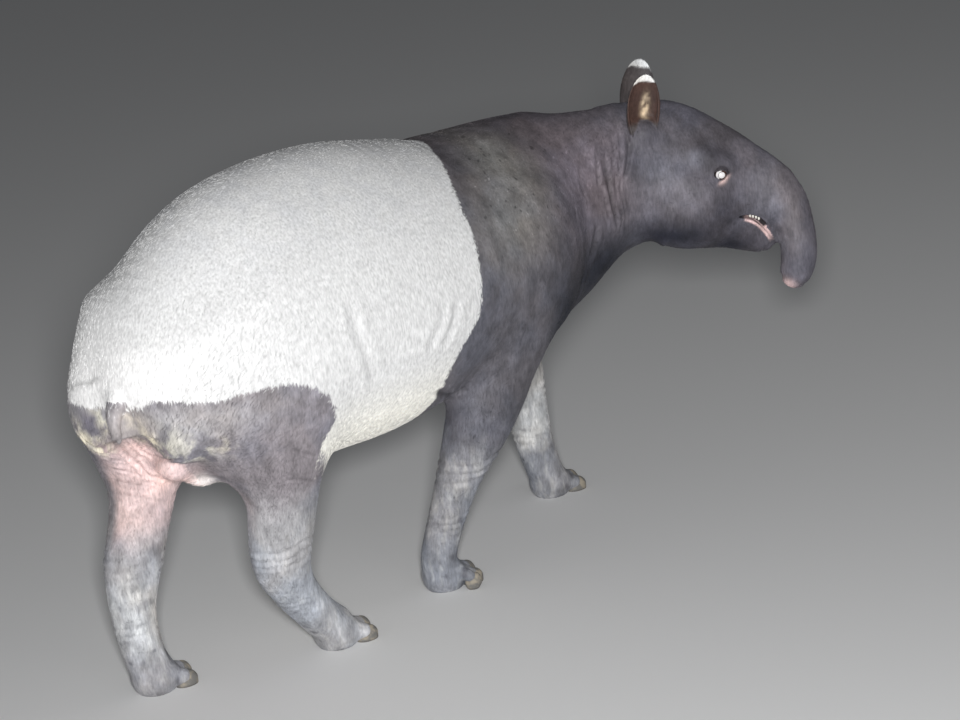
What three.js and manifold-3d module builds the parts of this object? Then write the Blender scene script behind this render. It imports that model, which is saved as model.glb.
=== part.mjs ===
// A life-size Malayan tapir, standing in mid stride with its head turned to its right.
// Millimetres. +X runs from rump to chest, +Y to the animal's left, +Z up, and the soles rest on z = 0.
// The body is one smooth field of blended forms, drawn as facets and parted into named pieces by thin cuts.
import * as THREE from 'three';
import Module from 'manifold-3d';
import { mergeVertices } from 'three/addons/utils/BufferGeometryUtils.js';

// Driving dimensions of the animal
const TRUNK_LENGTH = 1300;
const CROUP_HEIGHT = 1074;
const WITHERS_HEIGHT = 990;
const BELLY_HEIGHT = 402;
const BARREL_WIDTH = 590;
const HEAD_TURN = THREE.MathUtils.degToRad(-45);
const HEAD_ROOT = [1520, -140];
const EYE_RADIUS = 16;
const EAR_HEIGHT = 136;
const EAR_WIDTH = 85;
const TAIL_TIP_HEIGHT = 606;

// Gaps and drawing sizes
const GAP = 0.3;
const CELL = { trunk: 60, head: 24, proboscis: 19, upperLeg: 44, lowerLeg: 33, foot: 23, tail: 17 };
const FAR = 3000;

// Number helpers
const add = (a, b) => a.map((value, i) => value + b[i]);
const scale = (a, k) => a.map((value) => value * k);
const mix = (a, b, t) => a.map((value, i) => value + (b[i] - value) * t);
const dot = (a, b) => a[0] * b[0] + a[1] * b[1] + a[2] * b[2];
const cross = (a, b) => [a[1] * b[2] - a[2] * b[1], a[2] * b[0] - a[0] * b[2], a[0] * b[1] - a[1] * b[0]];
const unit = (a) => scale(a, 1 / Math.hypot(...a));
const lerp = (a, b, t) => a + (b - a) * t;

// A smooth row of numbers between listed rows, at t rows from the first
function between(rows, t) {
  const last = rows.length - 1;
  const i = Math.min(Math.floor(t), last - 1);
  const f = t - i;
  const before = rows[Math.max(i - 1, 0)];
  const from = rows[i];
  const to = rows[i + 1];
  const after = rows[Math.min(i + 2, last)];
  return from.map((value, k) => {
    const slope = to[k] - before[k];
    const bend = 2 * before[k] - 5 * value + 4 * to[k] - after[k];
    const twist = 3 * value - before[k] - 3 * to[k] + after[k];
    return 0.5 * (2 * value + slope * f + bend * f * f + twist * f * f * f);
  });
}

// Rough distance to an ellipsoid with the given radii, from its centre
function ellipsoidDistance(s, u, w, a, b, c) {
  const k = Math.hypot(s / a, u / b, w / c);
  const slope = Math.hypot(s / (a * a), u / (b * b), w / (c * c));
  return slope < 1e-9 ? -Math.min(a, b, c) : (k * (k - 1)) / slope;
}

// Further than this from a form's box, the distance to the box is close enough
const WELL_CLEAR = 200;

// A loft: oval sections along a smooth line. A row is [x, y, z, half width, reach up, reach down].
// The section's side runs along "side", or level and square to the line where none is given.
// "pinch" narrows the upper reach, and "cap" is how far the rounded ends run past the line.
function loft(rows, { side = null, pinch = 0, cap = 60, startCap = cap, steps = 5 } = {}) {
  const count = (rows.length - 1) * steps;
  const line = [];
  for (let i = 0; i <= count; i += 1) line.push(between(rows, i / steps));
  const frames = line.map((row, i) => {
    const ahead = line[Math.min(i + 1, count)].slice(0, 3);
    const behind = line[Math.max(i - 1, 0)].slice(0, 3);
    const along = unit(add(ahead, scale(behind, -1)));
    const wanted = side ?? cross([0, 0, 1], along);
    const across = unit(add(wanted, scale(along, -dot(wanted, along))));
    return { along, across, up: cross(along, across) };
  });
  const reach = Math.max(...line.map((row) => Math.max(row[3], row[4], row[5]))) + cap;
  const low = [0, 1, 2].map((k) => Math.min(...line.map((row) => row[k])) - reach);
  const high = [0, 1, 2].map((k) => Math.max(...line.map((row) => row[k])) + reach);
  return (p) => {
    const outside = Math.hypot(...p.map((v, k) => Math.max(low[k] - v, v - high[k], 0)));
    if (outside > WELL_CLEAR) return outside;
    let best = Infinity;
    let index = 0;
    let part = 0;
    for (let i = 0; i < count; i += 1) {
      const [ax, ay, az] = line[i];
      const dx = line[i + 1][0] - ax;
      const dy = line[i + 1][1] - ay;
      const dz = line[i + 1][2] - az;
      const raw = ((p[0] - ax) * dx + (p[1] - ay) * dy + (p[2] - az) * dz) / (dx * dx + dy * dy + dz * dz);
      const t = Math.min(Math.max(raw, 0), 1);
      const gap = (p[0] - ax - dx * t) ** 2 + (p[1] - ay - dy * t) ** 2 + (p[2] - az - dz * t) ** 2;
      if (gap < best) {
        best = gap;
        index = i;
        part = t;
      }
    }
    const row = mix(line[index], line[index + 1], part);
    const across = mix(frames[index].across, frames[index + 1].across, part);
    const up = mix(frames[index].up, frames[index + 1].up, part);
    const along = mix(frames[index].along, frames[index + 1].along, part);
    const q = [p[0] - row[0], p[1] - row[1], p[2] - row[2]];
    const u = dot(q, up);
    const isEnd = (index === 0 && part === 0) || (index === count - 1 && part === 1);
    const w = isEnd ? dot(q, along) : 0;
    const half = u > 0 ? row[3] * (1 - pinch * Math.min(u / row[4], 1)) : row[3];
    return ellipsoidDistance(dot(q, across), u, w, half, u > 0 ? row[4] : row[5], index === 0 ? startCap : cap);
  };
}

// An oval mass with radii along the given forward, left and up directions
function ball(centre, radii, axes = [[1, 0, 0], [0, 1, 0], [0, 0, 1]]) {
  return (p) => {
    const q = [p[0] - centre[0], p[1] - centre[1], p[2] - centre[2]];
    return ellipsoidDistance(dot(q, axes[0]), dot(q, axes[1]), dot(q, axes[2]), ...radii);
  };
}

// Two distances joined with a rounded seam
function blend(a, b, softness) {
  const h = Math.max(softness - Math.abs(a - b), 0) / softness;
  return Math.min(a, b) - (h * h * softness) / 4;
}

// Trunk sections from rump to chest: place along the trunk, top, underside and half width
const half = BARREL_WIDTH / 2;
const TRUNK = [
  [0.015, CROUP_HEIGHT - 338, 596, half * 0.25],
  [0.055, CROUP_HEIGHT - 238, 532, half * 0.52],
  [0.12, CROUP_HEIGHT - 126, 462, half * 0.76],
  [0.24, CROUP_HEIGHT - 32, BELLY_HEIGHT + 12, half * 0.93],
  [0.38, CROUP_HEIGHT, BELLY_HEIGHT + 8, half * 0.98],
  [0.53, CROUP_HEIGHT - 14, BELLY_HEIGHT + 2, half],
  [0.68, WITHERS_HEIGHT + 34, BELLY_HEIGHT + 46, half * 0.97],
  [0.8, WITHERS_HEIGHT - 4, BELLY_HEIGHT + 98, half * 0.87],
  [0.92, WITHERS_HEIGHT - 28, BELLY_HEIGHT + 72, half * 0.72],
];
const BARREL_LINE = 0.46;
const trunkRows = TRUNK.map(([place, top, bottom, width]) => {
  const z = lerp(bottom, top, BARREL_LINE);
  return [place * TRUNK_LENGTH, 0, z, width, top - z, z - bottom];
});

// Neck sections, from inside the chest to behind the ears
const neckRows = [
  [1060, 0, 715, 215, 250, 270],
  [1180, -10, 735, 182, 246, 282],
  [1290, -38, 758, 148, 229, 252],
  [1385, -80, 784, 124, 196, 204],
  [1478, -102, 806, 110, 162, 178],
];

// The head's own frame: h along the turned head, l to its left, z up
const headAhead = [Math.cos(HEAD_TURN), Math.sin(HEAD_TURN), 0];
const headLeft = [-Math.sin(HEAD_TURN), Math.cos(HEAD_TURN), 0];
const headPoint = (h, l, z) => add(add([...HEAD_ROOT, z], scale(headAhead, h)), scale(headLeft, l));
const headRow = ([h, z, ...sizes]) => [...headPoint(h, 0, z), ...sizes];
const headTilted = (slope) => {
  const ahead = unit(add(headAhead, [0, 0, -slope]));
  return [ahead, headLeft, cross(ahead, headLeft)];
};

// Head sections, each row [h, z, half width, reach up, reach down]
const skullRows = [
  [-60, 812, 108, 152, 176],
  [40, 795, 112, 170, 168],
  [130, 755, 106, 158, 152],
  [215, 705, 82, 142, 128],
  [280, 662, 56, 118, 60],
].map(headRow);
const jawRows = [
  [70, 690, 84, 60, 66],
  [165, 655, 64, 60, 58],
  [240, 622, 46, 44, 46],
  [285, 602, 36, 30, 38],
  [300, 592, 28, 20, 28],
].map(headRow);
const snoutRows = [
  [215, 745, 62, 66, 60],
  [275, 727, 58, 78, 62],
  [328, 677, 52, 72, 48],
  [362, 612, 46, 50, 42],
  [368, 548, 41, 44, 44],
  [359, 505, 35, 38, 40],
  [353, 487, 27, 26, 30],
].map(headRow);
const mirrored = (form) => [form(1), form(-1)];
const headForms = [
  [loft(jawRows, { side: headLeft, cap: 12 }), 22],
  [loft(snoutRows, { side: headLeft, cap: 19 }), 30],
  ...mirrored((s) => [ball(headPoint(92, s * 62, 700), [92, 46, 78], headTilted(0.5)), 50]),
  ...mirrored((s) => [ball(headPoint(168, s * 74, 822), [52, 18, 20], headTilted(0.6)), 34]),
  ...mirrored((s) => [ball(headPoint(130, s * 84, 762), [66, 20, 16], headTilted(0.45)), 40]),
  ...mirrored((s) => [ball(headPoint(14, s * 70, 904), [30, 28, 28]), 30]),
];

// Legs: rows run down from inside the trunk, as [x, y outward, z, half width, reach ahead, reach behind].
// "arch" is the outline on the flank where the leg parts from the trunk: middle, half width and height.
const LEGS = {
  foreleg_right: {
    side: -1,
    toes: 4,
    foot: [786, 84],
    arch: [940, 165, 610],
    rows: [
      [1055, 105, 730, 100, 125, 130],
      [1000, 146, 590, 92, 120, 116],
      [946, 150, 480, 82, 114, 100],
      [900, 140, 375, 74, 84, 88],
      [838, 119, 252, 54, 42, 60],
      [797, 101, 152, 44, 37, 49],
      [776, 90, 85, 42, 40, 44],
      [782, 84, 42, 46, 46, 44],
    ],
  },
  foreleg_left: {
    side: 1,
    toes: 4,
    foot: [1352, 84],
    arch: [1222, 172, 600],
    rows: [
      [1120, 105, 730, 100, 125, 130],
      [1205, 140, 590, 90, 112, 112],
      [1268, 142, 475, 76, 92, 84],
      [1316, 128, 365, 62, 74, 65],
      [1325, 114, 255, 53, 60, 60],
      [1330, 99, 155, 46, 47, 56],
      [1340, 89, 85, 44, 44, 50],
      [1350, 84, 42, 46, 46, 44],
    ],
  },
  hindleg_right: {
    side: -1,
    toes: 3,
    foot: [432, 92],
    arch: [268, 190, 745],
    rows: [
      [250, 92, 800, 112, 160, 170],
      [286, 130, 650, 108, 142, 160],
      [290, 140, 525, 94, 98, 124],
      [294, 132, 405, 72, 86, 86],
      [288, 118, 270, 58, 66, 80],
      [318, 106, 185, 48, 50, 58],
      [376, 96, 98, 44, 48, 44],
      [424, 92, 46, 48, 50, 46],
    ],
  },
  hindleg_left: {
    side: 1,
    toes: 3,
    foot: [62, 88],
    arch: [128, 190, 745],
    rows: [
      [205, 95, 800, 118, 150, 160],
      [172, 130, 650, 122, 150, 164],
      [150, 136, 525, 98, 124, 116],
      [128, 128, 410, 72, 78, 68],
      [76, 114, 275, 56, 60, 77],
      [46, 104, 185, 50, 51, 53],
      [46, 93, 98, 46, 47, 45],
      [58, 88, 46, 48, 50, 46],
    ],
  },
};
const LEG_BLEND = { 3: 85, 4: 55 };
const TOE = { root: 15, rootHeight: 46, reach: 62, tipHeight: 20, spread: 37, radius: 22, blend: 14 };
const OUTER_TOE = { shorter: 15, splay: 0.3, smaller: 0.12 };
const FOURTH_TOE = { shorter: 22, rootRise: 14, tipRise: 16, smaller: 0.15 };
const PAD = { ahead: 4, height: 20, radii: [48, 47, 40] };
const HOOF = { length: 29, width: 22, height: 33, tilt: 0.45, drop: 15, lowest: 5, ahead: 8, socket: 0.4 };
const TOE_PLACES = { 3: [-1, 0, 1], 4: [-1, 0, 1, 1.75] };

// Where each toe of a foot starts and ends; the fourth toe of a forefoot sits higher, on the outside
function toes(leg) {
  const [x, y] = [leg.foot[0], leg.foot[1] * leg.side];
  return TOE_PLACES[leg.toes].map((place) => {
    const away = Math.abs(place);
    const fourth = Math.max(away - 1, 0);
    const out = place * leg.side;
    const reach = TOE.reach - OUTER_TOE.shorter * away - FOURTH_TOE.shorter * fourth;
    return {
      root: [x, y + TOE.root * out, TOE.rootHeight + FOURTH_TOE.rootRise * fourth],
      tip: [x + reach, y + TOE.spread * out, TOE.tipHeight + FOURTH_TOE.tipRise * fourth],
      heading: unit([1, OUTER_TOE.splay * out, 0]),
      size: 1 - OUTER_TOE.smaller * away - FOURTH_TOE.smaller * fourth,
    };
  });
}

// The forms of one leg, with its foot
function legForms(leg) {
  const rows = leg.rows.map(([x, y, ...rest]) => [x, y * leg.side, ...rest]);
  const pad = ball([leg.foot[0] + PAD.ahead, leg.foot[1] * leg.side, PAD.height], PAD.radii);
  const digits = toes(leg).map(({ root, tip, size }) => {
    const radius = TOE.radius * size;
    const ends = [root, tip].map((end) => [...end, radius, radius, radius]);
    return [loft(ends, { side: [0, 1, 0], cap: radius, steps: 1 }), TOE.blend];
  });
  return [[loft(rows, { side: [0, 1, 0], cap: 40 }), LEG_BLEND[leg.toes]], [pad, 24], ...digits];
}

// The short tail hangs close to the rump
const tailRows = [
  [50, 0, 712, 26, 24, 24],
  [8, -1, 690, 24, 22, 22],
  [-14, -4, 650, 19, 17, 17],
  [-15, -8, TAIL_TIP_HEIGHT, 13, 11, 11],
];

// Buttocks and the fold of the groin, each [centre, radii]
const REAR_FLESH = [
  [[62, 98, 622], [56, 66, 70]],
  [[98, -74, 606], [62, 66, 74]],
  [[120, -20, 512], [46, 40, 34]],
  [[160, -22, 480], [30, 16, 20]],
  [[190, -20, 457], [28, 13, 14]],
];

// Every form that is blended into the trunk, with the softness of its seam
const trunk = loft(trunkRows, { pinch: 0.1, cap: 60, startCap: 12 });
const softForms = [
  [loft(neckRows, { pinch: 0.22, cap: 60 }), 90],
  ...mirrored((s) => [ball([1075, s * 165, 690], [95, 55, 165]), 90]),
  ...REAR_FLESH.map(([centre, radii]) => [ball(centre, radii), 30]),
  [loft(tailRows, { side: [0, 1, 0], cap: 8 }), 20],
  ...Object.values(LEGS).flatMap(legForms),
  [loft(skullRows, { side: headLeft, pinch: 0.24, cap: 30 }), 55],
  ...headForms,
];
const body = (p) => softForms.reduce((d, [form, softness]) => blend(d, form(p), softness), trunk(p));

// The slope of the field, which points straight out of the skin
function outward(field, p, step = 1) {
  return unit([0, 1, 2].map((k) => {
    const ahead = [...p];
    const behind = [...p];
    ahead[k] += step;
    behind[k] -= step;
    return field(ahead) - field(behind);
  }));
}

// The point of the skin met on the way in from a start point along a direction.
// A start this far beside the head is clear of it.
const BESIDE = 160;
function skinPoint(start, direction) {
  let p = start;
  for (let i = 0; i < 60; i += 1) p = add(p, scale(direction, body(p) * 0.6));
  return p;
}

// Faceting of a field inside a box: one vertex in each crossed cell, then evened out and set on the skin
function facets(field, from, high, cell) {
  for (const shift of [0.13, 0.37, 0.61, 0.83]) {
    try {
      return facetsAt(field, from.map((v) => v - cell * shift), high, cell);
    } catch (error) {
      if (error.code !== 'NotManifold') throw error;
    }
  }
  throw new Error('no start of the grid gives a closed skin');
}

function facetsAt(field, low, high, cell) {
  const size = low.map((v, k) => Math.ceil((high[k] - v) / cell) + 1);
  const at = (i, j, k) => (i * size[1] + j) * size[2] + k;
  const place = (i, j, k) => [low[0] + i * cell, low[1] + j * cell, low[2] + k * cell];
  const values = new Float64Array(size[0] * size[1] * size[2]);
  for (let i = 0; i < size[0]; i += 1) {
    for (let j = 0; j < size[1]; j += 1) {
      for (let k = 0; k < size[2]; k += 1) {
        const rim = [i, j, k].some((v, axis) => v === 0 || v === size[axis] - 1);
        values[at(i, j, k)] = rim ? cell : field(place(i, j, k)) || 1e-6;
      }
    }
  }
  const corners = [0, 1, 2, 3, 4, 5, 6, 7].map((n) => [n & 1, (n >> 1) & 1, (n >> 2) & 1]);
  const edges = [];
  for (let a = 0; a < 8; a += 1) {
    for (const bit of [1, 2, 4]) if (!(a & bit)) edges.push([a, a | bit]);
  }
  const vertices = [];
  const cellVertex = new Map();
  for (let i = 0; i < size[0] - 1; i += 1) {
    for (let j = 0; j < size[1] - 1; j += 1) {
      for (let k = 0; k < size[2] - 1; k += 1) {
        const around = corners.map(([a, b, c]) => values[at(i + a, j + b, k + c)]);
        const crossings = edges.filter(([a, b]) => around[a] < 0 !== around[b] < 0);
        if (!crossings.length) continue;
        const sum = crossings.reduce((total, [a, b]) => {
          const t = around[a] / (around[a] - around[b]);
          return add(total, mix(corners[a], corners[b], t));
        }, [0, 0, 0]);
        cellVertex.set(at(i, j, k), vertices.length);
        vertices.push(add(place(i, j, k), scale(sum, cell / crossings.length)));
      }
    }
  }
  const faces = [];
  const steps = [[1, 0, 0], [0, 1, 0], [0, 0, 1]];
  for (let i = 0; i < size[0] - 1; i += 1) {
    for (let j = 0; j < size[1] - 1; j += 1) {
      for (let k = 0; k < size[2] - 1; k += 1) {
        const inside = values[at(i, j, k)] < 0;
        steps.forEach((step, axis) => {
          const next = at(i + step[0], j + step[1], k + step[2]);
          if (inside === values[next] < 0) return;
          const b = steps[(axis + 1) % 3];
          const c = steps[(axis + 2) % 3];
          const ring = [[0, 0], [1, 0], [1, 1], [0, 1]].map(([m, n]) => cellVertex.get(at(
            i - m * b[0] - n * c[0], j - m * b[1] - n * c[1], k - m * b[2] - n * c[2])));
          if (!inside) ring.reverse();
          const [p, q, r, s] = ring;
          const short = distance(vertices[p], vertices[r]) < distance(vertices[q], vertices[s]);
          if (short) faces.push([p, q, r], [p, r, s]);
          else faces.push([p, q, s], [q, r, s]);
        });
      }
    }
  }
  const rimmed = (x, k) => x < low[k] + 1.01 * cell || x > low[k] + (size[k] - 2.01) * cell;
  const nearRim = vertices.map((v) => v.some(rimmed));
  settle(field, vertices, faces, nearRim, cell);
  return solid(meshGeometry(vertices, faces));
}

const distance = (a, b) => Math.hypot(a[0] - b[0], a[1] - b[1], a[2] - b[2]);

// Evens out the vertices among their neighbours and sets them back on the skin
function settle(field, vertices, faces, fixed, cell) {
  const neighbours = vertices.map(() => new Set());
  faces.forEach(([a, b, c]) => {
    neighbours[a].add(b).add(c);
    neighbours[b].add(a).add(c);
    neighbours[c].add(a).add(b);
  });
  for (let round = 0; round < 3; round += 1) {
    const eased = vertices.map((v, i) => {
      if (fixed[i]) return v;
      const list = [...neighbours[i]].map((n) => vertices[n]);
      const middle = scale(list.reduce(add), 1 / list.length);
      return mix(v, middle, 0.5);
    });
    eased.forEach((v, i) => {
      if (fixed[i]) return;
      const normal = outward(field, v);
      const off = Math.max(Math.min(field(v), cell), -cell);
      vertices[i] = add(v, scale(normal, -off));
    });
  }
}

function meshGeometry(vertices, faces) {
  const geometry = new THREE.BufferGeometry();
  geometry.setAttribute('position', new THREE.Float32BufferAttribute(vertices.flat(), 3));
  geometry.setIndex(faces.flat());
  return geometry;
}

// Solids for cutting and joining
const wasm = await Module();
wasm.setup();

function solid(geometry) {
  const plain = geometry.clone();
  plain.deleteAttribute('normal');
  plain.deleteAttribute('uv');
  const merged = mergeVertices(plain, 1e-4);
  return new wasm.Manifold(new wasm.Mesh({
    numProp: 3,
    vertProperties: Float32Array.from(merged.attributes.position.array),
    triVerts: Uint32Array.from(merged.index.array),
  }));
}

// The largest closed surface of a solid
function largest(shape) {
  return shape.decompose().sort((a, b) => Math.abs(b.volume()) - Math.abs(a.volume()))[0];
}

function geometryOf(shape) {
  const mesh = shape.getMesh();
  const geometry = new THREE.BufferGeometry();
  geometry.setAttribute('position', new THREE.Float32BufferAttribute(mesh.vertProperties, 3));
  geometry.setIndex(Array.from(mesh.triVerts));
  return geometry;
}

// Everything on the side of a plane that its normal points to, starting half a gap past it
function beyond(point, normal, start = GAP / 2) {
  const n = unit(normal);
  const block = new THREE.BoxGeometry(FAR, FAR, FAR);
  block.translate(0, 0, FAR / 2 + start);
  const upright = new THREE.Vector3(0, 0, 1);
  const turn = new THREE.Quaternion().setFromUnitVectors(upright, new THREE.Vector3(...n));
  block.applyQuaternion(turn);
  block.translate(...point);
  return solid(block);
}

// A copy of a solid with its faces moved in by a distance, along the average of the faces at each corner
function shrunk(shape, amount) {
  const geometry = geometryOf(shape);
  geometry.computeVertexNormals();
  const position = geometry.attributes.position;
  const normal = geometry.attributes.normal;
  for (let i = 0; i < position.count; i += 1) {
    position.setXYZ(
      i,
      position.getX(i) - normal.getX(i) * amount,
      position.getY(i) - normal.getY(i) * amount,
      position.getZ(i) - normal.getZ(i) * amount,
    );
  }
  return solid(geometry);
}

// A closed skin over rings of equally many points, with a fan at each end
function sleeve(rings) {
  const count = rings[0].length;
  const vertices = rings.flat();
  const faces = [];
  for (let i = 0; i < rings.length - 1; i += 1) {
    for (let j = 0; j < count; j += 1) {
      const a = i * count + j;
      const b = i * count + ((j + 1) % count);
      faces.push([a, b, b + count], [a, b + count, a + count]);
    }
  }
  const ends = [rings[0], rings[rings.length - 1]];
  ends.forEach((ring, end) => {
    const centre = vertices.length;
    vertices.push(scale(ring.reduce(add), 1 / count));
    const start = end ? (rings.length - 1) * count : 0;
    for (let j = 0; j < count; j += 1) {
      const a = start + j;
      const b = start + ((j + 1) % count);
      faces.push(end ? [a, b, centre] : [b, a, centre]);
    }
  });
  return meshGeometry(vertices, faces);
}

// A tapering round strand through points, with a radius at each
function strand(points, radii) {
  const sides = 6;
  const curve = new THREE.CatmullRomCurve3(points.map((p) => new THREE.Vector3(...p)));
  const steps = Math.round((points.length - 1) * 1.5);
  const frames = curve.computeFrenetFrames(steps);
  const rings = [];
  for (let i = 0; i <= steps; i += 1) {
    const middle = curve.getPoint(i / steps);
    const radius = between(radii.map((r) => [r]), (i / steps) * (radii.length - 1))[0];
    const ring = [];
    for (let j = 0; j < sides; j += 1) {
      const angle = (j / sides) * Math.PI * 2;
      const offset = frames.normals[i].clone().multiplyScalar(Math.cos(angle) * radius);
      offset.addScaledVector(frames.binormals[i], Math.sin(angle) * radius);
      ring.push(middle.clone().add(offset).toArray());
    }
    rings.push(ring);
  }
  return solid(sleeve(rings));
}

// The space that holds a leg: under an arch on the flank and a plane that slopes up and out from the
// belly, and all of a block below the belly. "inset" draws its faces in.
const LEG_BLOCK = { top: 365, bottom: -60, inner: 6, outer: 420, margin: 170 };
const LEG_SLOPE = { inner: 8, innerHeight: 366, normal: [0, 0.905, -0.425] };
function legZone(leg, inset = 0) {
  const [middle, reach, height] = leg.arch;
  const outline = new THREE.Shape();
  const spring = height - reach;
  outline.moveTo(middle + reach - inset, LEG_BLOCK.top - 60);
  outline.lineTo(middle + reach - inset, spring);
  outline.absarc(middle, spring, reach - inset, 0, Math.PI, false);
  outline.lineTo(middle - reach + inset, LEG_BLOCK.top - 60);
  const depth = LEG_BLOCK.outer - LEG_BLOCK.inner - inset;
  const arch = new THREE.ExtrudeGeometry(outline, { depth, bevelEnabled: false, curveSegments: 14 });
  arch.rotateX(Math.PI / 2);
  arch.translate(0, leg.side > 0 ? LEG_BLOCK.outer : -LEG_BLOCK.inner - inset, 0);
  const [, across, down] = LEG_SLOPE.normal;
  const slope = [0, across * leg.side, down];
  const start = add([0, LEG_SLOPE.inner * leg.side, LEG_SLOPE.innerHeight], scale(slope, inset));
  const xs = leg.rows.slice(3).map((row) => row[0]);
  const low = Math.min(...xs) - LEG_BLOCK.margin + inset;
  const high = Math.max(...xs) + LEG_BLOCK.margin - inset;
  const block = new THREE.BoxGeometry(high - low, depth, LEG_BLOCK.top - inset - LEG_BLOCK.bottom);
  const acrossMiddle = (LEG_BLOCK.inner + inset + LEG_BLOCK.outer) / 2;
  block.translate((low + high) / 2, leg.side * acrossMiddle, (LEG_BLOCK.top - inset + LEG_BLOCK.bottom) / 2);
  return solid(arch).intersect(beyond(start, slope, 0)).add(solid(block));
}

const ground = beyond([0, 0, 0], [0, 0, 1], 0);

// Materials, as the photo shows the coat and skin
const paint = (color, roughness, metalness = 0) => new THREE.MeshStandardMaterial({ color, roughness, metalness });
const materials = {
  saddle: paint(0xd2d2cd, 0.85),
  dark_coat: paint(0x3c3d40, 0.8),
  ear: paint(0x2c2a2a, 0.85),
  hoof: paint(0x8a8172, 0.55),
  eye: paint(0x15100e, 0.08),
};

const tapir = new THREE.Group();
function addPart(name, shape, material) {
  const mesh = new THREE.Mesh(geometryOf(largest(shape)), material);
  mesh.name = name;
  tapir.add(mesh);
}

// Cutting planes between the main parts
const NECK_ROOT = { point: [1275, 0, 770], normal: [1, -0.1, 0.48] };
const HEAD_BACK = { point: headPoint(-42, 0, 800), normal: add(headAhead, [0, 0, 0.05]) };
const flip = ({ point, normal }) => ({ point, normal: scale(normal, -1) });
const side = ({ point, normal }) => beyond(point, normal);

// Torso and neck share one skin, parted by the cut at the root of the neck, with sockets for the legs
function addTrunk() {
  const whole = legEntries.reduce(
    (shape, [, leg]) => shape.subtract(legZone(leg)),
    facets(body, [-90, -420, 320], [1660, 420, 1150], CELL.trunk).subtract(tailZone()),
  );
  addPart('torso', whole.intersect(side(flip(NECK_ROOT))), materials.saddle);
  addPart('neck', whole.intersect(side(NECK_ROOT)).intersect(side(flip(HEAD_BACK))), materials.dark_coat);
}

// The block behind the rump that parts the tail from it
const TAIL_BLOCK = { front: 0, back: -120, reach: 62, bottom: 560, top: 740 };
function tailZone(inset = 0) {
  const { front, back, reach, bottom, top } = TAIL_BLOCK;
  const block = new THREE.BoxGeometry(front - back - inset, 2 * (reach - inset), top - bottom - 2 * inset);
  block.translate((front + back - inset) / 2, 0, (top + bottom) / 2);
  return solid(block);
}

// One leg in three parts, cut square to the leg at the knee or hock and above the foot
function addLeg(name, leg) {
  const inner = legZone(leg, GAP);
  const row = (i) => [leg.rows[i][0], leg.rows[i][1] * leg.side, leg.rows[i][2]];
  const cut = (i) => ({ point: row(i), normal: unit(add(row(i + 1), scale(row(i - 1), -1))) });
  const knee = cut(4);
  const ankle = cut(6);
  const xs = leg.rows.map((r) => r[0]);
  const box = (bottom, top, pad) => [
    [Math.min(...xs) - pad, leg.side > 0 ? -30 : -400, bottom],
    [Math.max(...xs) + pad, leg.side > 0 ? 400 : 30, top],
  ];
  const upper = facets(body, ...box(170, 930, 260), CELL.upperLeg);
  addPart(`${name}_upper`, upper.intersect(inner).intersect(side(flip(knee))), materials.dark_coat);
  const lower = facets(body, ...box(20, 400, 190), CELL.lowerLeg);
  addPart(`${name}_lower`, lower.intersect(inner).intersect(side(knee)).intersect(side(flip(ankle))),
    materials.dark_coat);
  const hooves = toes(leg).map(hoof);
  const foot = facets(body, ...box(-50, 160, 190), CELL.foot).intersect(inner).intersect(side(ankle));
  const shaped = hooves.reduce((shape, { socket }) => shape.subtract(socket), foot.intersect(ground));
  addPart(`${name}_foot`, shaped, materials.dark_coat);
  hooves.forEach(({ nail }, i) => addPart(`${name}_hoof_${i + 1}`, nail, materials.hoof));
}

// One oval hoof with a flat sole, and the slightly larger shape that clears its socket
function hoof({ tip, heading, size }) {
  const height = Math.max(tip[2] - HOOF.drop, HOOF.lowest);
  const shape = (grow) => {
    const nail = new THREE.SphereGeometry(1, 9, 6);
    nail.scale(HOOF.length * size + grow, HOOF.width * size + grow, HOOF.height * size + grow);
    nail.rotateY(HOOF.tilt);
    nail.rotateZ(Math.atan2(heading[1], heading[0]));
    nail.translate(tip[0] + HOOF.ahead * heading[0], tip[1] + HOOF.ahead * heading[1], height);
    return solid(nail);
  };
  return { nail: shape(0).intersect(ground), socket: shape(HOOF.socket) };
}

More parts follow.
